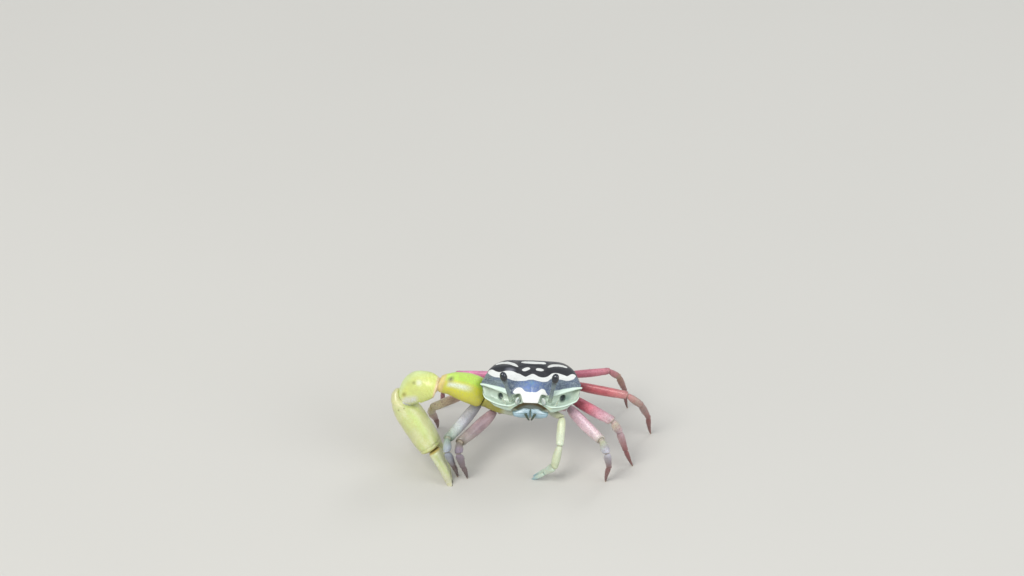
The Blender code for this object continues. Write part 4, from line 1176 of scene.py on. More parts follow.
class FIDDLER_OT_shell(bpy.types.Operator):
    """Build the banded shell with its rims, eye hollows and grains"""

    bl_idname = "fiddler.shell"
    bl_label = "Shell"

    def execute(self, context):
        chosen = settings("shell")
        matter = shell_matter(
            "banded_shell", scale=2600.0, pits=0.45, height=1.4e-5, roughness=(0.26, 0.46), contrast=0.3,
            freckle=tone(136, 152, 160), freckle_scale=3400.0, freckle_key="speckle", coat=0.35,
            marks=(("rim", tuple(chosen.rim), 0.07, 0.08), ("white", tuple(chosen.white), 0.05, 0.08)))
        made = shown(shell_surface(chosen, matter), "shell", "carapace")
        pale = shell_matter("rim_beads", coat=0.3, contrast=0.15)
        rows = []
        for seed, side in enumerate(SIDES):
            for stand, start, end, out, size, count in ((18.5, 2.6, 7.9, 0.02, 0.085, 34),
                                                        (TOP_STEPS + 0.3, 3.6, 8.6, 0.0, 0.06, 46)):
                places = rim_path(side, stand, start, end, out)
                path = path_object("rim_path", places, [size] * len(places))
                values = {"Count": count, "Size spread": 0.35, "Seed": seed}
                rows.append(with_tree(path, bead_tree(), values, "row", pale))
        shown(coloured(merged(rows, "shell_rim_beads", pale), tuple(chosen.rim)), "shell")
        dark = shell_matter("shell_grain_beads", coat=0.3, contrast=0.3)
        spread = {"Density": 9.0e6, "Size": 7.5e-5, "Flatness": 0.55, "Seed": 5}
        grains = with_tree(made, grain_tree(), spread, "shell_grains", dark)
        above, below, border = tone(70, 78, 84), tone(178, 204, 184), 15.8 * MM
        shown(retinted(grains, lambda vertex: above if vertex.co.z > border else below), "shell")
        return {"FINISHED"}


# The underside and mouth
PLATE_SIDES, PLATE_STEPS = 40, 60
TAIL_SIDES, TAIL_STEPS = 40, 110
# The root joints of every limb: name, places and depth
LIMB_ROOTS = [(name, [Vector(p) for p in places], 2.0) for name, places in LEG_JOINTS.items()]
LIMB_ROOTS += [("claw", [CLAW_ROOT, CLAW_MERUS_START, CLAW_ELBOW], 2.6),
               ("small_claw", [Vector(p) for p in SMALL_JOINTS], 1.5)]
# Half width and depth of the breastplate, along its length
PLATE_FORM = ((0.0, 2.6, 1.2), (0.25, 4.3, 1.7), (0.6, 4.8, 1.8), (0.85, 4.2, 1.7), (1.0, 3.0, 1.3))
# The tail's line under the body: share, y, z and half width, and the shares of the seams between its plates
TAIL_LINE = ((0.0, 5.65, 13.3, 1.7), (0.12, 5.85, 12.2, 2.0), (0.25, 5.5, 11.0, 2.1), (0.4, 4.4, 10.15, 2.0),
             (0.58, 2.6, 9.8, 1.8), (0.74, 0.6, 9.75, 1.5), (0.9, -1.4, 9.8, 1.15), (1.0, -2.6, 10.0, 0.7))
TAIL_SEAMS = (0.12, 0.26, 0.4, 0.54, 0.68, 0.84)
PALP_LINE = ((0.86, -5.85, 12.62), (0.72, -6.0, 12.35), (0.56, -6.02, 12.0), (0.38, -5.95, 11.6),
             (0.2, -5.8, 11.25))


def coxa_rings(joints, depth):
    """Rings of a limb's root, from inside the body to the limb's first joint."""
    start = joints[0].lerp(Vector((0.0, joints[0].y * 0.8, 10.9)), 0.35)
    run = (joints[1] - start).normalized()
    return bar(start, joints[1], (start, run), moved_cut(chain(joints)[1], -1), UP, (depth, 0.75 * depth),
               SWELL["coxa"], count=28, steps=24, rim=0.08)


def plate_rings():
    """Sections of the breastplate, flat above and rounded below."""
    front, rear, top = -3.9, 4.6, SHELL_FLOOR - GAP
    turns = [math.pi * k / PLATE_SIDES for k in range(PLATE_SIDES + 1)]
    rings = []
    for step in range(PLATE_STEPS + 1):
        share = step / PLATE_STEPS
        half, depth = through(PLATE_FORM, share)
        rings.append(on_body([(half * math.cos(turn), front + (rear - front) * share,
                               top - depth * max(0.0, math.sin(turn)) ** 0.7) for turn in turns]))
    return rings


def underside_values(place):
    """Pale plates that take on each limb's colour towards its root."""
    level = LEVEL @ place
    seam = max(bump(level.y, y, 0.16) for y in SUTURES) * (1.0 - ramp(abs(level.x), 4.2, 5.0))
    tint = layered(tone(196, 204, 184), (tone(214, 212, 196), ramp(level.y, -3.0, 3.0)),
                   (tone(136, 140, 118), 0.6 * seam))
    for name, joints, depth in LIMB_ROOTS:
        way = (joints[1] - joints[0]).normalized()
        reach = (place - joints[0]).dot(way)
        off_line = (place - joints[0] - way * reach).length
        share = ramp(reach, -0.4, 1.2) * (1.0 - ramp(off_line, depth * 0.55, depth * 0.8))
        tint = mixed(tint, ROOT_TONES[name], share)
    return {"tint": tint}


def underside_move(place, normal):
    level = LEVEL @ place
    if abs(level.x) > 4.9:
        return 0.02 * noise.noise(place * 2.0)
    bend = level.y + 0.12 * abs(level.x)
    cut = max(bump(bend, y, 0.2) for y in SUTURES) * (1.0 - ramp(abs(level.x), 4.1, 4.9))
    middle = bump(level.x, 0.0, 0.22)
    return (-0.14 * cut - 0.1 * middle) * ramp(-normal.z, 0.2, 0.7) + 0.02 * noise.noise(place * 1.6)


def tail_flap():
    """The male's narrow tail: six plates and a tip folded forward under the body."""
    thickness = 0.6
    rings, tints = [], []
    for step in range(TAIL_STEPS + 1):
        share = step / TAIL_STEPS
        y, z, half = through(TAIL_LINE, share)
        before, after = through(TAIL_LINE, share - 0.01), through(TAIL_LINE, share + 0.01)
        way = Vector((0.0, after[0] - before[0], after[1] - before[1])).normalized()
        out = Vector((0.0, way.z, -way.y))
        seam = max(bump(share, at, 0.014) for at in TAIL_SEAMS)
        step_up = max(ramp(share, at - 0.05, at) * (1.0 - ramp(share, at, at + 0.006)) for at in TAIL_SEAMS)
        half *= 1.0 - 0.07 * seam + 0.02 * step_up
        ring = []
        for angle in angles(TAIL_SIDES):
            rise = math.sin(angle) * thickness / 2 * (1.0 - 0.45 * seam + 0.25 * step_up)
            ring.append(Vector((half * powered(math.cos(angle), 0.7), y, z)) + out * rise)
        rings.append(on_body(ring))
        tints.append(layered(tone(206, 208, 190), (tone(188, 196, 180), share),
                             (tone(120, 122, 100), 0.7 * seam)))
    skin = Skin(capped(rings, 0.08, 0.12),
                lambda row, k: {"tint": tints[held_between(row - END_RINGS, 0, TAIL_STEPS)]})
    matter = shell_matter("tail_plates", scale=3000.0, roughness=(0.36, 0.5), contrast=0.2, coat=0.2)
    return skin.made("tail_flap", matter)


def mouth_plate(side, matter):
    """One of the two plates that close the mouth."""
    inner, outer = 0.06, MOUTH_HALF_WIDTH - GAP
    rings, rows = [], []
    for step in range(MOUTH_STEPS + 1):
        share = step / MOUTH_STEPS
        z = MAXILLIPED_FOOT + 0.15 + (MAXILLIPED_TOP - MAXILLIPED_FOOT - 0.1) * share
        width = (outer - inner) * (0.62 + 0.38 * math.sin(math.pi * min(1.0, 0.18 + share * 0.55)))
        width *= (1.0 - 0.17 * ramp(share, 0.8, 1.0)) * (0.86 + 0.14 * ramp(share, 0.0, 0.22))
        seam = bump(share, 0.62, 0.07)
        front = -5.05 - 0.65 * math.sin(math.pi * (0.15 + 0.6 * share)) + 0.13 * seam
        front += 0.3 * (1.0 - ramp(share, 0.0, 0.3))
        back = MOUTH_BACK_Y - GAP - 0.55 * ramp(share, 0.6, 1.0)
        ring, shares = [], []
        for angle in angles(MOUTH_SIDES):
            x = inner + width / 2 + width / 2 * powered(math.cos(angle), 0.6)
            y = (front + back) / 2 + (back - front) / 2 * powered(math.sin(angle), 0.8)
            across = (x - inner) / width
            furrow = bump(across, 0.3, 0.09) * ramp(-math.sin(angle), 0.2, 0.6) * (1.0 - seam)
            drop = 0.5 * ramp(across, 0.4, 1.05) * ramp(share, 0.5, 1.0)
            ring.append((x, y + 0.09 * furrow, z - drop))
            shares.append(across)
        rings.append(mirrored(ring, side))
        rows.append((share, seam, shares))

    def values(row, k):
        share, seam, shares = rows[held_between(row - END_RINGS, 0, MOUTH_STEPS)]
        across = shares[k]
        tint = layered(
            tone(156, 186, 204), (tone(192, 216, 230), ramp(share, 0.3, 0.9)),
            (tone(112, 138, 134), 0.75 * seam + 0.3 * bump(across, 0.3, 0.08)),
            (tone(126, 158, 148), 0.5 * (1.0 - ramp(share, 0.0, 0.25))),
            # Painted highlight near the top of each plate
            (tone(238, 250, 255), 0.9 * bump(share, 0.85, 0.24) * bump(across, 0.6, 0.35)),
            # Painted shade along the outer edge, against the shell, and the inner edge, against the other
            # plate
            (tone(92, 124, 124), 0.7 * ramp(across, 0.86, 1.0)),
            (tone(92, 134, 136), 0.7 * (1.0 - ramp(across, 0.0, 0.1))))
        return {"tint": tint, "bristle": (1.0 - ramp(across, 0.0, 0.12)) * ramp(share, 0.1, 0.3),
                "flow": (-SIGNS[side] * 0.4, -0.6, -0.5),
                "unwrap": unwrapped(k, MOUTH_SIDES, row, MOUTH_STEPS, SIDES.index(side), len(SIDES))}

    skin = Skin(capped(rings, 0.12, 0.1), values)
    return shown(skin.made("maxilliped_" + side, matter), "mouthpart", "maxilliped_" + side)


class UndersideSettings(bpy.types.PropertyGroup):
    """Fineness of the surfaces that are grown together from several forms."""

    voxel: length_setting("Fineness", "Size of the smallest detail where several forms join", 0.1, 0.05, 0.3)
    hairs: FloatProperty(name="Mouth hairs", default=6.0e6, min=0.0, max=5.0e7,
                         description="Hairs for each square metre of the mouth plates' inner edge")


class FIDDLER_OT_underside(bpy.types.Operator):
    """Build the breastplate with the limbs' roots, and the folded tail"""

    bl_idname = "fiddler.underside"
    bl_label = "Underside"

    def execute(self, context):
        matter = shell_matter("breastplate", scale=3000.0, roughness=(0.36, 0.52), contrast=0.22,
                              freckle=tone(150, 146, 120), coat=0.2)
        forms = [plate_rings()] + [coxa_rings(joints, depth) for _, joints, depth in LIMB_ROOTS]
        made = grown_together([Skin(capped(rings, 0.05, 0.05)) for rings in forms], "breastplate", matter,
                              settings("underside").voxel)
        shown(reshaped(made, underside_values, underside_move), "underside", "sternum")
        shown(tail_flap(), "underside", "abdomen")
        return {"FINISHED"}


class FIDDLER_OT_mouth(bpy.types.Operator):
    """Build the plates that close the mouth, with their palps and hairs"""

    bl_idname = "fiddler.mouth"
    bl_label = "Mouth"

    def execute(self, context):
        matter = shell_matter("mouth_plates", scale=3400.0, height=1.0e-5, roughness=(0.26, 0.42),
                              contrast=0.18, coat=0.35, freckle=tone(150, 180, 180))
        dark = shell_matter("palp_shell", contrast=0.3, coat=0.2)
        palps, hairs = [], []
        for seed, side in enumerate(SIDES):
            plate = mouth_plate(side, matter)
            path = path_object("palp_path", mirrored(PALP_LINE, side))
            jointed = {"Joints": 3, "Thickness": 5.4e-4, "Tip share": 0.62, "Waist": 0.15}
            palps.append(with_tree(path, feeler_tree(), jointed, "palp", dark))
            bristly = {"Density": settings("underside").hairs, "Length": 3.2e-4, "Thickness": 1.6e-5,
                       "Lean": 0.9, "Seed": seed}
            hairs.append(with_tree(plate, bristle_tree(), bristly, "hair", dark))
        shown(coloured(merged(palps, "mouth_palps", dark), tone(72, 84, 66)), "mouthpart")
        hairy = coloured(merged(hairs, "mouth_hairs", dark), tone(120, 124, 96))
        hair_patches(hairy.data)
        shown(hairy, "mouthpart")
        return {"FINISHED"}


# Eyes and feelers
STALK_SIDES, STALK_STEPS = 40, 50
EYE_SIDES, EYE_STEPS = 48, 48
# The two kinds of feelers: name, places, joints, thickness, share of it left at the tip, and colours at foot
# and tip
# On the inner feeler the colours go from dark low down to pale high up, as painted shade and light.
FEELERS = (
    ("antennule_", ((2.15, -5.2, 15.1), (2.2, -5.75, 15.0), (2.3, -6.2, 14.95), (2.46, -6.42, 15.15),
                    (2.55, -6.42, 15.5), (2.46, -6.25, 15.8), (2.26, -5.95, 15.9), (2.12, -5.7, 15.75)),
     7, 7.0e-4, 0.45, (tone(150, 164, 156), tone(214, 222, 214))),
    ("antenna_", ((4.42, -5.75, 14.55), (4.5, -5.95, 14.8), (4.72, -6.15, 15.3), (4.92, -6.35, 15.8),
                  (5.1, -6.5, 16.3)),
     13, 4.0e-4, 0.3, (tone(206, 224, 206), tone(196, 212, 190))),
)


class EyeSettings(bpy.types.PropertyGroup):
    """Sizes and colours of the stalked eyes."""

    width: length_setting("Eye width", "Width of the eye's dome", 1.34, 0.6, 2.0)
    height: length_setting("Eye height", "Length of the eye along its stalk", 1.95, 1.0, 3.0)
    stalk: length_setting("Stalk width", "Thickness of the eye stalk", 1.0, 0.5, 1.5)
    dome: colour_setting("Eye", "Colour of the eye's dome", tone(16, 20, 26))
    stem: colour_setting("Stalk", "Colour of the stalk", tone(112, 126, 132))


def stalked_eye(side, chosen, eye_matter, stalk_matter):
    flip = Vector((SIGNS[side], 1.0, 1.0))
    foot, middle = STALK_FOOT * flip, EYE_MIDDLE * flip + EYE_LEAN
    way = (middle - foot).normalized()
    width, height, stalk = chosen.width / MM, chosen.height / MM, chosen.stalk / MM
    eye_foot, eye_top = middle - way * (height / 2), middle + way * (height / 2)
    neck = eye_foot + way * 0.24
    rings = bar(foot, neck, (foot, way), (neck, way), FORWARD, (stalk, stalk), SWELL["eyestalk"], bow=-0.05,
                count=STALK_SIDES, steps=STALK_STEPS, rim=0.0, furrow=0.05)

    def stalk_values(row, k):
        share = part_share(row, STALK_STEPS)
        return {"tint": layered(tone(168, 188, 160), (tuple(chosen.stem), ramp(share, 0.0, 0.45)),
                                (tone(60, 68, 74), ramp(share, 0.8, 1.0)))}

    skin = Skin([on_body(ring) for ring in capped(rings, 0.1, 0.08)], stalk_values)
    shown(skin.made("eyestalk_" + side, stalk_matter), "eyestalk", "eyestalk_" + side)
    depth_way = square_to(FORWARD, way)
    side_way = way.cross(depth_way)
    shares = [0.5 - 0.5 * math.cos(math.pi * step / EYE_STEPS) for step in range(EYE_STEPS + 1)]
    rings = []
    for share in shares:
        wide = math.sqrt(max(0.0004, 1.0 - abs(2.0 * share - 1.0) ** 2.3)) * (1.0 - 0.05 * share)
        centre = eye_foot.lerp(eye_top, share)
        outward = [depth_way * math.cos(angle) + side_way * math.sin(angle) for angle in angles(EYE_SIDES)]
        rings.append(on_body([centre + out * wide * width / 2 for out in outward]))

    def eye_values(row, k):
        share = shares[row]
        facing = 0.5 + 0.5 * math.cos(math.tau * k / EYE_SIDES)
        return {"tint": layered(tuple(chosen.dome), (tone(34, 44, 58), 0.5 * ramp(share, 0.5, 0.9)),
                                (tone(70, 84, 78), (1.0 - ramp(share, 0.1, 0.24)) * (0.9 - 0.5 * facing)))}

    shown(Skin(rings, eye_values).made("eye_" + side, eye_matter), "eye", "eye_" + side)


def eye_dome_matter():
    """Wet near-black eye with very fine facets."""
    made, nodes, shader = new_matter("eye_dome")
    sheen = nodes.noise(1200.0, 2.0)
    facets = nodes.cells(16000.0)
    relief = nodes.out("ShaderNodeBump", {"Height": facets, "Strength": 0.5, "Distance": 3.0e-6})
    colour = nodes.scaled(nodes.attribute("tint", "Color"), nodes.ranged(sheen, SPAN, (0.6, 1.5)))
    nodes.fill(shader, {"Base Color": colour, "Roughness": nodes.ranged(sheen, SPAN, (0.1, 0.22)),
                        "Normal": relief, "Coat Weight": 0.8, "Coat Roughness": 0.08})
    return made


class FIDDLER_OT_eyes(bpy.types.Operator):
    """Build the two eyes on their stalks"""

    bl_idname = "fiddler.eyes"
    bl_label = "Eyes"

    def execute(self, context):
        eye_matter = eye_dome_matter()
        stalk_matter = shell_matter("eye_stalk", scale=4200.0, height=6.0e-6, roughness=(0.22, 0.4),
                                    contrast=0.3, freckle=tone(132, 146, 146), freckle_scale=12000.0,
                                    coat=0.4, subsurface=0.25)
        for side in SIDES:
            stalked_eye(side, settings("eyes"), eye_matter, stalk_matter)
        return {"FINISHED"}


class FIDDLER_OT_feelers(bpy.types.Operator):
    """Build the small jointed feelers beside the eye stalks"""

    bl_idname = "fiddler.feelers"
    bl_label = "Feelers"

    def execute(self, context):
        matter = shell_matter("feeler_shell", scale=4200.0, coat=0.3, subsurface=0.2)
        for prefix, places, joints, thickness, tip, tones in FEELERS:
            for side in SIDES:
                path = path_object("feeler_path", mirrored(places, side))
                jointed = {"Joints": joints, "Thickness": thickness, "Tip share": tip}
                made = with_tree(path, feeler_tree(), jointed, "feeler_" + prefix + side, matter)
                heights = [v.co.z for v in made.data.vertices]
                low, high = min(heights), max(heights)
                # Coloured by height; on the inner feelers the dark foot and pale top are painted shade and
                # light
                retinted(made, lambda vertex: mixed(*tones, (vertex.co.z - low) / (high - low)))
                shown(made, "feeler", prefix + side)
        return {"FINISHED"}


# Walking legs
SLEEVE_FOLDS = 9
SLEEVE_REACH = 0.28
LEG_HAIR_SEED = 7


def joint_sleeve(skin, cut, ring_before, ring_after, colour, narrow=0.8):
    """The soft folded skin that closes a joint, between the ends of two parts."""
    middle_before, middle_after = middle_of(ring_before), middle_of(ring_after)
    low, high = middle_before - cut[1] * SLEEVE_REACH, middle_after + cut[1] * SLEEVE_REACH
    rings = []
    for step in range(SLEEVE_FOLDS + 1):
        share = step / SLEEVE_FOLDS
        pinch = narrow * (1.0 - 0.05 * (step % 2)) * (0.9 + 0.1 * math.sin(math.pi * share))
        rings.append([(low + (a - middle_before) * pinch).lerp(high + (b - middle_after) * pinch, share)
                      for a, b in zip(ring_before, ring_after)])
    # Every other fold is darkened as painted shade in its crease
    skin.add_rings(rings, lambda row, k: {"tint": mixed(colour, tone(104, 96, 84), 0.3 * (row % 2))})


def walking_leg(name, matter, sleeve_matter, horn):
    """The four parts of a leg, the skin at its joints and its bristles."""
    joints = [Vector(p) for p in LEG_JOINTS[name]]
    cuts = chain(joints)
    bend = (joints[2] - joints[1]).cross(joints[5] - joints[2]).normalized()
    lengths = [(there - here).length for here, there in zip(joints[1:], joints[2:])]
    total, walked = sum(lengths), 0.0
    sizes = LEG_SIZES[name[4]]
    sleeves, pieces, last_ring = Skin(), [], None
    for index, (part, (keel, furrow, rim, bow, hairiness)) in enumerate(LEG_FORMS.items()):
        start, end = joints[index + 1], joints[index + 2]
        way = (end - start).normalized()
        foot = part == "dactyl"
        end_cut = (end, -UP) if foot else moved_cut(cuts[index + 2], -1)
        rings = bar(start, end, moved_cut(cuts[index + 1], 1), end_cut, bend.cross(way), sizes[index],
                    SWELL[part], bow=bow, keel=keel, furrow=furrow, rim=rim, count=LEG_SIDES, steps=LEG_STEPS)
        low, high = walked / total, (walked + lengths[index]) / total
        walked += lengths[index]
        if last_ring:
            skin_tone = mixed(straight(LEG_TONES[name], low), tone(176, 160, 134), 0.45)
            joint_sleeve(sleeves, cuts[index + 1], last_ring, rings[0], skin_tone)
        last_ring = rings[-1]

        def values(row, k):
            share = part_share(row, LEG_STEPS)
            edge = abs(math.cos(math.tau * k / LEG_SIDES)) ** 6
            tint = straight(LEG_TONES[name], low + (high - low) * share)
            tint = mixed(tint, tuple(c * 0.72 for c in tint), 0.45 * bump(share, 0.965, 0.05))
            tint = mixed(tint, tuple(min(1.0, c * 1.18) for c in tint), 0.4 * edge)
            if foot:
                tint = mixed(tint, tone(196, 176, 140), 0.7 * ramp(share, 0.86, 1.0))
            column = (k + LEG_SIDES // 4) % LEG_SIDES
            return {"tint": tint, "bristle": hairiness * edge * bump(share, 0.55, 0.5), "flow": tuple(way),
                    "unwrap": unwrapped(column, LEG_SIDES, row, LEG_STEPS, index, len(LEG_FORMS))}

        piece = Skin(capped(rings, 0.1, 0.01 if foot else -0.14), values).made(name + "_" + part, matter)
        pieces.append(shown(piece, "leg", name + "_" + part))
    shown(sleeves.made(name + "_joint_skin", sleeve_matter), "leg")
    hairs = []
    for seed, piece in enumerate(pieces, LEG_HAIR_SEED):
        bristly = {"Density": settings("legs").bristles, "Length": 3.4e-4, "Thickness": 1.5e-5,
                   "Lean": 1.6, "Seed": seed}
        hairs.append(with_tree(piece, bristle_tree(), bristly, "hair", horn))
    hairy = coloured(merged(hairs, name + "_bristles", horn), tone(104, 84, 66))
    hair_patches(hairy.data)
    shown(hairy, "leg")


class LegSettings(bpy.types.PropertyGroup):
    """Bristles and freckles of the walking legs."""

    bristles: FloatProperty(name="Bristles", default=1.1e7, min=0.0, max=5.0e7,
                            description="Bristles for each square metre along the edges of the feet")
    freckles: FloatProperty(name="Freckles", description="How much of the upper leg is freckled", default=0.2,
                            min=0.0, max=0.6, subtype="FACTOR")


class FIDDLER_OT_legs(bpy.types.Operator):
    """Build the eight walking legs with their joint skin and bristles"""

    bl_idname = "fiddler.legs"
    bl_label = "Walking legs"

    def execute(self, context):
        sleeve_matter = shell_matter("joint_skin", scale=3600.0, roughness=(0.45, 0.6), contrast=0.3,
                                     coat=0.1, subsurface=0.2)
        horn = shell_matter("bristle_horn", contrast=0.2, coat=0.1)
        for name in LEG_JOINTS:
            matter = shell_matter(name + "_shell", scale=2800.0, pits=0.4, height=1.3e-5, contrast=0.3,
                                  freckle=tuple(c * 0.62 for c in ROOT_TONES[name]), freckle_scale=5200.0,
                                  freckle_amount=settings("legs").freckles, coat=0.3, subsurface=0.12)
            walking_leg(name, matter, sleeve_matter, horn)
        return {"FINISHED"}


# The great claw
def claw_axes():
    """The palm's length, depth and thickness directions, its depth turned away from the face."""
    length_way = (CLAW_KNUCKLE - CLAW_HEEL).normalized()
    depth_way = square_to(VIEW_SIDE, length_way)
    side_way = length_way.cross(depth_way)
    depth_way = depth_way * math.cos(CLAW_ROLL) + side_way * math.sin(CLAW_ROLL)
    return length_way, depth_way, length_way.cross(depth_way)


CLAW_LENGTH_WAY, CLAW_DEPTH_WAY, CLAW_SIDE_WAY = claw_axes()
CLAW_WRIST = CLAW_HEEL + CLAW_DEPTH_WAY * WRIST_DROP
WRIST_WAY = ((CLAW_WRIST - CLAW_ELBOW).normalized() + CLAW_LENGTH_WAY).normalized()
CLAW_TIP = PALM + FINGER_REACH
CLAW_SIDES, HAND_STEPS, FINGER_STEPS, KNOB_STEPS, TOOTH_STEPS = 56, 70, 60, 30, 40
# Folds of the skin at the wrist, and the ring of the palm that it reaches
WRIST_FOLDS = 12
WRIST_RING = 8
# Stations along the palm, its finger, the moving finger and the heel's knob: reach, upper and lower edge as
# drops from the palm's axis, and width and shift across as shares of the palm's thickness
HAND = (
    (-0.3, 0.9, 3.4, 0.43, 0.0), (0.2, 0.45, 4.4, 0.64, 0.0), (1.2, 0.12, 5.4, 0.84, 0.0),
    (3.0, -0.12, 6.3, 0.98, 0.0), (5.5, -0.25, PALM_DEPTH, 1.0, 0.0), (8.0, -0.25, PALM_DEPTH, 0.98, 0.0),
    (PALM - 1.2, -0.12, PALM_DEPTH - 0.05, 0.92, 0.0), (PALM - 0.3, 0.1, PALM_DEPTH - 0.12, 0.84, 0.0),
    (PALM + 0.02, 0.5, PALM_DEPTH - 0.4, 0.7, 0.0))
FIXED_FINGER = (
    (PALM - 2.5, 3.4, PALM_DEPTH - 0.3, 0.62, 0.04), (PALM - 0.8, 3.5, PALM_DEPTH - 0.18, 0.66, 0.06),
    (PALM + 0.3, 3.62, PALM_DEPTH - 0.17, 0.56, 0.08), (PALM + 1.6, 3.95, PALM_DEPTH - 0.35, 0.45, 0.09),
    (PALM + 3.4, 3.95, PALM_DEPTH - 0.9, 0.37, 0.06), (PALM + 5.2, 3.6, PALM_DEPTH - 1.75, 0.29, -0.02),
    (PALM + 6.6, 3.1, PALM_DEPTH - 2.75, 0.22, -0.1),
    (CLAW_TIP + 0.1, FINGER_DROP + 0.5, PALM_DEPTH - 3.45, 0.12, -0.16))
MOVING_FINGER = (
    (PALM + 0.3, 0.6, 2.8, 0.4, 0.07), (PALM + 0.5, 0.3, 3.1, 0.48, 0.07), (PALM + 0.9, 0.05, 3.2, 0.5, 0.07),
    (PALM + 2.2, -0.05, 2.9, 0.45, 0.05), (PALM + 3.8, 0.15, 2.65, 0.38, 0.01),
    (PALM + 5.4, 0.6, 2.5, 0.31, -0.06), (PALM + 6.8, 1.25, 2.45, 0.23, -0.13),
    (CLAW_TIP + 0.3, FINGER_DROP - 0.45, FINGER_DROP + 0.1, 0.11, -0.18))
HEEL_KNOB = (
    (-1.6, 1.5, 2.9, 0.14, 0.1), (-1.5, 1.2, 3.2, 0.27, 0.085), (-1.25, 1.0, 3.55, 0.35, 0.035),
    (-0.5, 0.65, 4.2, 0.42, -0.055), (0.25, 0.4, 4.75, 0.46, -0.095), (1.2, 0.25, 5.2, 0.5, -0.06),
    (2.4, 0.1, 5.7, 0.5, -0.03))
# The wrist part's axis: share, x, height and depth as seen by the camera, half width, half thickness and turn
CARPUS = (
    (0.0, -16.91, 11.41, -14.8, 1.88, 1.6, 18.0), (0.12, -17.69, 11.64, -14.5, 2.33, 1.95, 8.9),
    (0.27, -18.63, 11.72, -14.0, 2.62, 2.3, 0.4), (0.47, -20.05, 11.6, -13.2, 2.85, 2.5, -15.2),
    (0.66, -21.23, 10.86, -12.3, 2.63, 2.4, -31.5), (0.83, -21.88, 9.92, -11.5, 2.13, 2.1, -45.8),
    (1.0, -22.14, 9.18, -10.8, 1.48, 1.6, -60.4))
# Marks of the wrist part as seen by the camera: x, height, reach, colour and strength, and a pale stroke
# The first is a painted highlight, the second the painted shade of a small dimple, the third an olive spot.
CARPUS_SPOTS = ((-20.04, 12.3, 0.85, tone(246, 252, 232), 0.95),
                (-20.95, 12.28, 0.5, tone(134, 138, 80), 0.8),
                (-22.69, 10.2, 0.62, tone(142, 134, 56), 0.85))
CARPUS_PALE = ((-23.5, 8.5, 0.85), (-22.2, 9.0, 0.95), (-20.9, 9.3, 0.75))


def carpus_rings():
    """Sections of the wrist part along its bent axis, the last in the plane of the wrist."""
    rings = []
    for step in range(ARM_STEPS + 1):
        share = step / ARM_STEPS
        x, up, deep, half, thick, turn = through(CARPUS, share)
        turn = math.radians(turn)
        level = ramp(share, 0.6, 1.0)
        across = Vector((math.sin(turn), 0.0, 0.0)) + VIEW_UP * math.cos(turn)
        across = across.lerp(square_to(across, WRIST_WAY), level)
        back = VIEW_SIDE.lerp(square_to(VIEW_SIDE, WRIST_WAY), level)
        centre = Vector((x, 0.0, 0.0)) + VIEW_UP * up + VIEW_SIDE * deep
        ring = []
        for angle in angles(ARM_SIDES):
            place = centre + across * math.cos(angle) * half + back * math.sin(angle) * thick
            grain = noise.noise(place * 1.1) + 0.4 * noise.noise(place * 4.0)
            ring.append(place + (place - centre).normalized() * grain * 0.04)
        rings.append(ring)
    return rings


def claw_place(reach, down, out):
    return CLAW_HEEL + CLAW_LENGTH_WAY * reach + CLAW_DEPTH_WAY * down + CLAW_SIDE_WAY * out


def claw_parts_of(place):
    """Reach, drop and side of a place in the claw's own directions."""
    off = place - CLAW_HEEL
    return off.dot(CLAW_LENGTH_WAY), off.dot(CLAW_DEPTH_WAY), off.dot(CLAW_SIDE_WAY)


def claw_rings(stations, steps, count=CLAW_SIDES):
    """Sections of the claw through its stations. The palm's are cut off at the wrist."""
    rings = []
    low, high = stations[0][0], stations[-1][0]
    for step in range(steps + 1):
        reach = low + (high - low) * step / steps
        top, bottom, width, shift = through(stations, reach)
        middle, half = (top + bottom) / 2, (bottom - top) / 2
        ring = []
        for angle in angles(count):
            down = powered(math.cos(angle), 0.9) * half
            out = (powered(math.sin(angle), 0.85) * width / 2 + shift) * PALM_THICKNESS
            place = claw_place(reach, middle + down, out)
            if stations is HAND:
                short = (CLAW_WRIST + WRIST_WAY * GAP / 2 - place).dot(WRIST_WAY)
                place += CLAW_LENGTH_WAY * max(0.0, short + reach * 0.05) / CLAW_LENGTH_WAY.dot(WRIST_WAY)
            ring.append(place)
        rings.append(ring)
    return rings


def palm_values(place):
    """Colours of the palm and its finger, and where it carries grains."""
    reach, down, side = claw_parts_of(place)
    streak = noise.noise(Vector((reach * 0.35, down * 1.3, side * 1.3)))
    lime = bump(side + 0.25 * streak, 0.85, 1.1) * bump(reach, 5.2, 5.4) * (1.0 - ramp(down, 2.2, 4.4))
    finger = mixed(tone(200, 212, 152), tone(226, 226, 192), ramp(reach, PALM + 3.0, CLAW_TIP))
    tint = layered(
        tone(204, 214, 148), (tone(216, 220, 170), ramp(streak, -0.4, 0.5)),
        (tone(200, 222, 134), 0.75 * lime),
        (tone(214, 214, 158), 0.6 * ramp(-side, 1.0, 2.3)),
        (tone(200, 202, 140), 0.5 * ramp(down, 3.5, 6.2)),
        (tone(226, 222, 172), 0.7 * (1.0 - ramp(reach, 0.2, 1.6))),
        (finger, ramp(reach, PALM + 0.4, PALM + 2.6)),
        (tone(176, 140, 48), 0.75 * bump(reach, PALM - 0.05, 0.45) * (1.0 - ramp(down, 2.9, 3.8))))
    for spot_reach, spot_side in ((1.55, -0.9), (1.75, 0.15)):
        near = bump(math.hypot(reach - spot_reach, side - spot_side), 0.0, 0.26)
        tint = mixed(tint, tone(96, 84, 44), 0.8 * near * (1.0 - ramp(down, 1.2, 2.2)))
    outer = ramp(reach, 1.0, 2.5) * (1.0 - ramp(reach, PALM - 1.0, PALM + 0.5)) * ramp(down, 1.2, 3.0)
    return {"tint": tint, "bristle": outer * (1.0 - ramp(down, 5.0, 6.4)), "flow": tuple(CLAW_LENGTH_WAY)}


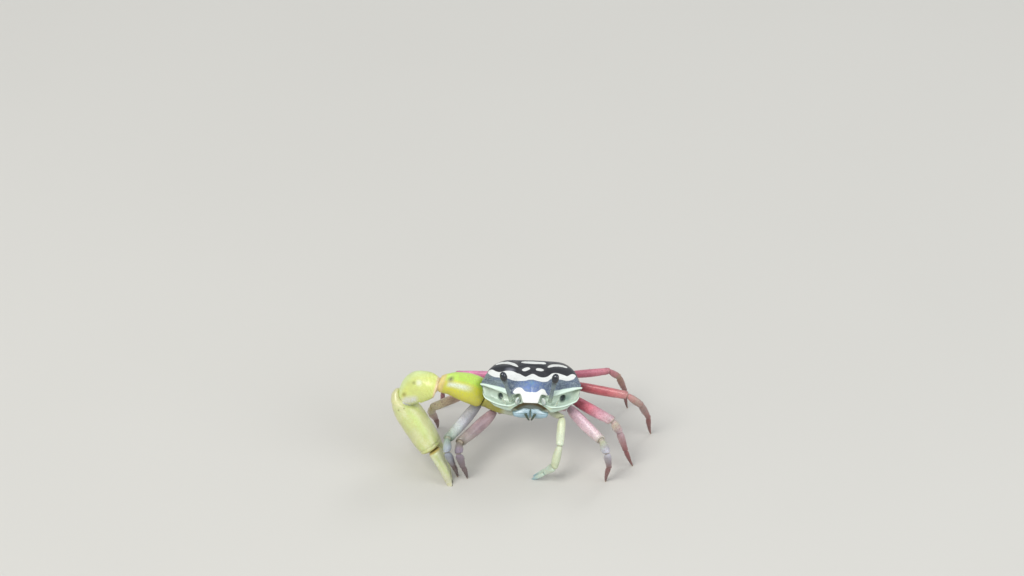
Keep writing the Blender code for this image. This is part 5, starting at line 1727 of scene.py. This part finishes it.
def palm_move(place, normal):
    reach, down = claw_parts_of(place)[:2]
    furrow = bump(down, 5.1, 0.5) * ramp(reach, PALM - 6.0, PALM - 1.0)
    furrow *= 1.0 - ramp(reach, PALM + 5.0, CLAW_TIP)
    knuckle = 0.08 * bump(reach, PALM - 0.25, 0.3) - 0.09 * bump(reach, PALM - 0.75, 0.3)
    move = 0.035 * noise.noise(place * 0.8) + 0.012 * noise.noise(place * 3.5)
    return move - 0.12 * furrow + knuckle * (1.0 - ramp(down, 3.0, 3.8))


def finger_values(place):
    reach, _, side = claw_parts_of(place)
    share = ramp(reach, PALM + 0.4, CLAW_TIP)
    tint = layered(
        tone(218, 224, 190), (tone(214, 214, 188), ramp(share, 0.1, 1.0)),
        (tone(184, 202, 134), 0.7 * bump(side - 0.25, 0.0, 0.6) * (1.0 - ramp(share, 0.6, 1.0))),
        (tone(190, 156, 62), 0.75 * (1.0 - ramp(reach, PALM + 0.35, PALM + 0.85))),
        (tone(236, 232, 206), 0.6 * ramp(share, 0.88, 1.0)))
    return {"tint": tint, "bristle": 0.0, "flow": tuple(CLAW_LENGTH_WAY)}


def finger_move(place, normal):
    reach, down = claw_parts_of(place)[:2]
    furrow = bump(down - (0.9 + 0.12 * (reach - PALM)), 0.0, 0.25) * bump(reach, PALM + 3.6, 3.2)
    return 0.02 * noise.noise(place * 1.2) + 0.01 * noise.noise(place * 4.0) - 0.06 * furrow


def on_floor(made):
    """Keep a claw's finger tips from going below the floor."""
    for vertex in made.data.vertices:
        vertex.co.z = max(vertex.co.z, 0.0)
    return made


def gape_teeth(matter):
    """Rows of rounded teeth on the facing edges of the two fingers."""
    rows = []
    for stations, edge, count, seed in ((FIXED_FINGER, 0, 22, 3), (MOVING_FINGER, 1, 20, 4)):
        places, radii = [], []
        for step in range(TOOTH_STEPS + 1):
            share = step / TOOTH_STEPS
            reach = PALM + 0.9 + (FINGER_REACH - 1.7) * share
            values = through(stations, reach)
            places.append(claw_place(reach, values[edge], values[3] * PALM_THICKNESS))
            swell = 1.0 + 0.9 * bump(share, 0.38, 0.09) + 0.6 * bump(share, 0.74, 0.07)
            radii.append(0.15 * (1.0 - 0.45 * share) * swell)
        path = path_object("tooth_path", places, radii)
        beaded = {"Count": count, "Size spread": 0.3, "Fineness": 2, "Seed": seed}
        rows.append(with_tree(path, bead_tree(), beaded, "teeth", matter))
    return coloured(on_floor(merged(rows, "great_claw_teeth", matter)), tone(236, 230, 198))


def merus_tone(share, angle, place):
    """Colour of the great claw's upper arm, from a point's share along and angle round it, with painted light
    and shade.
    """
    upper = 0.5 + 0.5 * math.cos(angle)
    near = 1.0 if math.sin(angle) < 0.0 else 0.25
    painted_highlight = bump(upper, 0.46 - 0.14 * share, 0.17) * ramp(share, 0.22, 0.5) * (1.0 - ramp(share, 0.78, 0.88))
    return layered(
        tone(222, 220, 58), (tone(200, 242, 92), ramp(upper, 0.48, 0.64)),
        # Darker olive on the underside, most of all near the body, is painted shade
        (tone(204, 190, 66), 0.6 * ramp(1.0 - upper, 0.75, 1.0)),
        (tone(170, 152, 56), 0.35 * (1.0 - ramp(share, 0.0, 0.28)) * (1.0 - ramp(upper, 0.2, 0.6))),
        # Painted highlight on the side facing the camera
        (tone(238, 248, 232), 0.95 * near * painted_highlight),
        (tone(104, 98, 80), 0.9 * near * bump(upper, 0.6, 0.26) * bump(share, 0.8, 0.1)),
        (tone(230, 200, 132), 0.9 * ramp(share, 0.86, 0.93)))


def carpus_tone(share, angle, place):
    """Colour of the wrist part, from a point's share along it, angle round it and place."""
    upper = 0.5 + 0.5 * math.cos(angle)
    near = 1.0 if math.sin(angle) < 0.0 else 0.4
    stripes = 0.5 + 0.5 * math.sin(place.z * 5.0 + place.x * 9.0)
    seen_x, seen_up = place.x, place.dot(VIEW_UP)
    # The first spot is a painted highlight and the second the painted shade of a small dimple
    spots = [(colour, amount * near * bump(math.hypot(seen_x - x, seen_up - up), 0.0, reach))
             for x, up, reach, colour, amount in CARPUS_SPOTS]
    return layered(
        tone(220, 230, 138), (tone(198, 210, 104), 0.45 * stripes * (1.0 - ramp(share, 0.2, 0.4))),
        (tone(226, 232, 118), 0.8 * ramp(share, 0.6, 0.8) * ramp(upper, 0.5, 0.75)),
        (tone(222, 242, 176), ramp(upper, 0.7, 1.0) * ramp(share, 0.1, 0.4)),
        (tone(230, 230, 232), 0.9 * near * ramp(to_stroke(seen_x, seen_up, CARPUS_PALE), -0.35, 0.75)),
        (tone(238, 206, 178), 0.85 * (1.0 - ramp(share, 0.02, 0.07))), *spots)


def wrist_skin(skin, carpus_ring, palm_ring):
    """The pale swollen skin between the wrist and the palm."""
    middle_a, middle_b = middle_of(carpus_ring), middle_of(palm_ring)
    rings = []
    for step in range(WRIST_FOLDS + 1):
        share = step / WRIST_FOLDS
        centre = middle_a.lerp(middle_b, share)
        ring = []
        for a, b in zip(carpus_ring, palm_ring):
            start = middle_a + (a - middle_a) * 0.96 - WRIST_WAY * 0.4
            place = start.lerp(middle_b + (b - middle_b) * 0.72, share)
            ring.append(centre + (place - centre) * (0.9 + 0.12 * math.sin(math.pi * share)))
        rings.append(ring)
    # Every other fold is darkened blue-grey as painted shade in its crease
    light, dark = tone(230, 226, 232), tone(150, 156, 176)
    skin.add_rings(rings, lambda row, k: {"tint": mixed(light, dark, 0.55 * (row % 2))})


class ClawSettings(bpy.types.PropertyGroup):
    """Fineness and grain of the great claw."""

    voxel: length_setting("Fineness", "Size of the smallest detail of the palm and fingers", 0.085, 0.05, 0.3)
    grains: FloatProperty(name="Grains", description="Grains for each square metre of the palm's outer face",
                          default=5.0e6, min=0.0, max=3.0e7)
    seed: IntProperty(name="Seed", description="Seed of the scattered grains", default=11, min=0)


class FIDDLER_OT_great_claw(bpy.types.Operator):
    """Build the great claw, its arm, teeth, grains and joint skin"""

    bl_idname = "fiddler.great_claw"
    bl_label = "Great claw"

    def execute(self, context):
        chosen = settings("claw")
        matter = shell_matter("great_claw_shell", scale=2300.0, pits=0.6, height=1.6e-5,
                              roughness=(0.28, 0.48), contrast=0.16, freckle=tone(196, 194, 116),
                              freckle_scale=6000.0, coat=0.4, subsurface=0.1)
        skins = [Skin(capped(claw_rings(stations, steps), 0.1, 0.12)) for stations, steps in (
            (HAND, HAND_STEPS), (FIXED_FINGER, FINGER_STEPS), (HEEL_KNOB, KNOB_STEPS))]
        palm = grown_together(skins, "great_claw_palm", matter, chosen.voxel)
        shown(on_floor(reshaped(palm, palm_values, palm_move)), "great_claw", "claw_manus")
        skin = Skin(capped(claw_rings(MOVING_FINGER, FINGER_STEPS), 0.12, 0.1))
        finger = grown_together([skin], "great_claw_finger", matter, chosen.voxel)
        shown(on_floor(reshaped(finger, finger_values, finger_move)), "great_claw", "claw_dactyl")
        shown(gape_teeth(matter), "great_claw")
        grains = with_tree(palm, grain_tree(), {"Density": chosen.grains, "Size": 1.1e-4, "Flatness": 0.45,
                                                "Seed": chosen.seed}, "great_claw_grains", matter)
        shown(on_floor(grains), "great_claw")
        self.arm(matter)
        return {"FINISHED"}

    def arm(self, matter):
        start_cut = moved_cut(chain([CLAW_ROOT, CLAW_MERUS_START, CLAW_ELBOW])[1], 1)
        merus = bar(CLAW_MERUS_START, CLAW_ELBOW, start_cut, ELBOW_CUT, Vector((0.0, 0.6, 0.8)), (5.4, 3.8),
                    SWELL["claw_merus"], keel=1.1, rim=0.03, count=ARM_SIDES, steps=ARM_STEPS, rough=0.02)
        carpus = carpus_rings()
        for name, rings, tone_of in (("merus", merus, merus_tone), ("carpus", carpus, carpus_tone)):
            ends = capped(rings, 0.14, -0.1)
            skin = Skin(ends, lambda row, k: {
                "tint": tone_of(part_share(row, ARM_STEPS), math.tau * k / ARM_SIDES, ends[row][k])})
            shown(skin.made("great_claw_" + name, matter), "great_claw", "claw_" + name)
        soft = shell_matter("claw_joint_skin", scale=3000.0, roughness=(0.35, 0.55), coat=0.2, subsurface=0.2)
        sleeves = Skin()
        joint_sleeve(sleeves, ELBOW_CUT, merus[-1], carpus[0], tone(226, 196, 140), narrow=0.94)
        quarter = ARM_SIDES // 4
        palm_ring = claw_rings(HAND, HAND_STEPS, count=ARM_SIDES)[WRIST_RING]
        wrist_skin(sleeves, carpus[-1][quarter:] + carpus[-1][:quarter], palm_ring)
        shown(sleeves.made("great_claw_joint_skin", soft), "great_claw")


# The small claw
SPOON_SIDES, SPOON_STEPS = 32, 36


class FIDDLER_OT_small_claw(bpy.types.Operator):
    """Build the small feeding claw with its spoon-tipped fingers"""

    bl_idname = "fiddler.small_claw"
    bl_label = "Small claw"

    def execute(self, context):
        matter = shell_matter("small_claw_shell", height=1.1e-5, roughness=(0.3, 0.48), contrast=0.2,
                              freckle=tone(186, 190, 156), coat=0.3, subsurface=0.15)
        soft = shell_matter("small_joint_skin", scale=3600.0, roughness=(0.45, 0.6), coat=0.1)
        joints = [Vector(p) for p in SMALL_JOINTS]
        cuts = chain(joints)
        sleeves, last_ring = Skin(), None
        arm = (("merus", 1, (1.7, 1.5), "merus", -0.12, (tone(214, 222, 184), tone(224, 234, 210))),
               ("carpus", 2, (1.7, 1.5), "carpus", -0.12, (tone(214, 222, 196), tone(198, 208, 172))),
               ("manus", 3, (1.9, 1.3), "propodus", 0.1, (tone(190, 206, 188), tone(204, 222, 208))))
        for part, index, size, swell, far, tones in arm:
            rings = bar(joints[index], joints[index + 1], moved_cut(cuts[index], 1),
                        moved_cut(cuts[index + 1], -1), Vector((0.3, -1.0, 0.2)), size, SWELL[swell],
                        keel=1.1, count=LEG_SIDES, steps=LEG_STEPS)
            if last_ring:
                joint_sleeve(sleeves, cuts[index], last_ring, rings[0], tone(196, 198, 168))
            last_ring = rings[-1]
            skin = Skin(capped(rings, 0.1, far),
                        lambda row, k: {"tint": mixed(*tones, part_share(row, LEG_STEPS))})
            shown(skin.made("small_claw_" + part, matter), "small_claw", "small_claw_" + part)
        spread = square_to(Vector((0.2, -1.0, 0.5)), (joints[5] - joints[4]).normalized())
        foot_tone, tip_tone = tone(200, 220, 208), tone(152, 188, 200)
        for part, shift in (("fixed_finger", 0.55), ("dactyl", -0.55)):
            start, end = joints[4] + spread * shift, joints[5] + spread * shift * 0.85
            rings = bar(start, end, moved_cut(cuts[4], 1), (joints[5], -UP), spread, (0.72, 0.8),
                        SWELL["small_finger"], count=SPOON_SIDES, steps=SPOON_STEPS, rim=0.0)
            skin = Skin(capped(rings, 0.1, 0.01), lambda row, k: {
                "tint": mixed(foot_tone, tip_tone, ramp(part_share(row, SPOON_STEPS), 0.3, 0.8))})
            shown(skin.made("small_claw_" + part, matter), "small_claw", "small_claw_" + part)
        shown(sleeves.made("small_claw_joint_skin", soft), "small_claw")
        return {"FINISHED"}


# Floor, light and camera
SENSOR_WIDTH = 36.0
FLOOR_REACH = 4.0
# Middle of the view, in millimetres from the part's own zero
VIEW_TARGET = Vector((-3.51, 17.94, 22.96))


class StageSettings(bpy.types.PropertyGroup):
    """Camera, floor and light."""

    elevation: FloatProperty(name="Camera elevation", description="How far the camera looks down",
                             default=math.radians(38.0), min=0.0, max=math.pi / 2, subtype="ANGLE")
    distance: FloatProperty(name="Camera distance", description="From the camera to the middle of the view",
                            default=1.2, min=0.2, max=5.0, unit="LENGTH")
    view_width: FloatProperty(name="View width", description="Width of the scene that fills the frame",
                              default=0.1842, min=0.02, max=1.0, unit="LENGTH")
    floor: colour_setting("Floor", "Colour of the floor", tone(206, 204, 198))
    key_power: FloatProperty(name="Key light", description="Power of the main light", default=5.4, min=0.0,
                             max=100.0, unit="POWER")
    fill_power: FloatProperty(name="Fill light", description="Power of the fill light", default=1.9, min=0.0,
                              max=100.0, unit="POWER")
    sky: FloatProperty(name="Sky", description="Strength of the light from all round", default=0.55, min=0.0,
                       max=3.0)


def soft_light(name, place, target, size, power, colour):
    data = bpy.data.lights.new(name, "AREA")
    data.shape = "DISK"
    data.size = size
    data.energy = power
    data.color = colour
    lamp = linked(name, data)
    lamp.location = place
    lamp.rotation_euler = (Vector(target) - Vector(place)).to_track_quat("-Z", "Y").to_euler()


class FIDDLER_OT_stage(bpy.types.Operator):
    """Lay the floor and place the lights and the camera"""

    bl_idname = "fiddler.stage"
    bl_label = "Floor, light and camera"

    def execute(self, context):
        chosen = settings("stage")
        self.floor(tuple(chosen.floor))
        key, fill = chosen.key_power, chosen.fill_power
        soft_light("key_light", (-0.35, -0.45, 0.75), (0, 0, 0.01), 0.5, key, (1.0, 0.985, 0.95))
        soft_light("fill_light", (0.6, -0.35, 0.4), (0, 0, 0.01), 0.6, fill, (0.92, 0.96, 1.0))
        soft_light("back_light", (0.45, 0.55, 0.75), (0, 0, 0.015), 0.4, fill * 0.6, (1.0, 1.0, 1.0))
        world = bpy.data.worlds.new("soft_sky")
        world.use_nodes = True
        sky = world.node_tree.nodes["Background"]
        sky.inputs["Color"].default_value = (0.93, 0.96, 1.0, 1.0)
        sky.inputs["Strength"].default_value = chosen.sky
        context.scene.world = world
        context.scene.view_settings.view_transform = "Standard"
        data = bpy.data.cameras.new("camera")
        data.sensor_width = SENSOR_WIDTH
        data.lens = SENSOR_WIDTH * chosen.distance / chosen.view_width
        data.clip_start, data.clip_end = 0.01, 20.0
        camera = linked("camera", data)
        way = Vector((0.0, math.cos(chosen.elevation), -math.sin(chosen.elevation)))
        camera.location = VIEW_TARGET * MM + OFFSET * MM - way * chosen.distance
        camera.rotation_euler = way.to_track_quat("-Z", "Y").to_euler()
        context.scene.camera = camera
        return {"FINISHED"}

    def floor(self, colour):
        corners = [(x * FLOOR_REACH, y * FLOOR_REACH, 0.0) for x, y in ((-1, -1), (1, -1), (1, 1), (-1, 1))]
        mesh = bpy.data.meshes.new("floor")
        mesh.from_pydata(corners, [], [(0, 1, 2, 3)])
        matter, nodes, shader = new_matter("floor")
        shade = nodes.ranged(nodes.noise(9.0, 3.0), (0.0, 1.0), (0.96, 1.03))
        nodes.fill(shader, {"Base Color": nodes.scaled(colour, shade), "Roughness": 0.85})
        mesh.materials.append(matter)
        linked("floor", mesh)


class FIDDLER_PT_panel(bpy.types.Panel):
    """Buttons and settings for every piece of the crab"""

    bl_label = "Fiddler Crab"
    bl_idname = "FIDDLER_PT_panel"
    bl_space_type = "VIEW_3D"
    bl_region_type = "UI"
    bl_category = "Fiddler Crab"

    def draw(self, context):
        for name, kind in SETTING_KINDS:
            box = self.layout.box()
            box.label(text=name.capitalize())
            for key in kind.__annotations__:
                box.prop(settings(name), key)
        for step in STEPS:
            self.layout.operator(step.bl_idname)


SETTING_KINDS = (("shell", ShellSettings), ("underside", UndersideSettings), ("eyes", EyeSettings),
                 ("legs", LegSettings), ("claw", ClawSettings), ("stage", StageSettings))
STEPS = (FIDDLER_OT_shell, FIDDLER_OT_underside, FIDDLER_OT_mouth, FIDDLER_OT_eyes, FIDDLER_OT_feelers,
         FIDDLER_OT_legs, FIDDLER_OT_great_claw, FIDDLER_OT_small_claw, FIDDLER_OT_stage)


def register():
    for name, kind in SETTING_KINDS:
        bpy.utils.register_class(kind)
        setattr(bpy.types.Scene, "fiddler_" + name, PointerProperty(type=kind))
    for kind in STEPS + (FIDDLER_PT_panel,):
        bpy.utils.register_class(kind)


def unregister():
    for kind in reversed(STEPS + (FIDDLER_PT_panel,)):
        bpy.utils.unregister_class(kind)
    for name, kind in reversed(SETTING_KINDS):
        delattr(bpy.types.Scene, "fiddler_" + name)
        bpy.utils.unregister_class(kind)


def main():
    register()
    for step in STEPS:
        group, name = step.bl_idname.split(".")
        getattr(getattr(bpy.ops, group), name)()


if __name__ == "__main__":
    main()
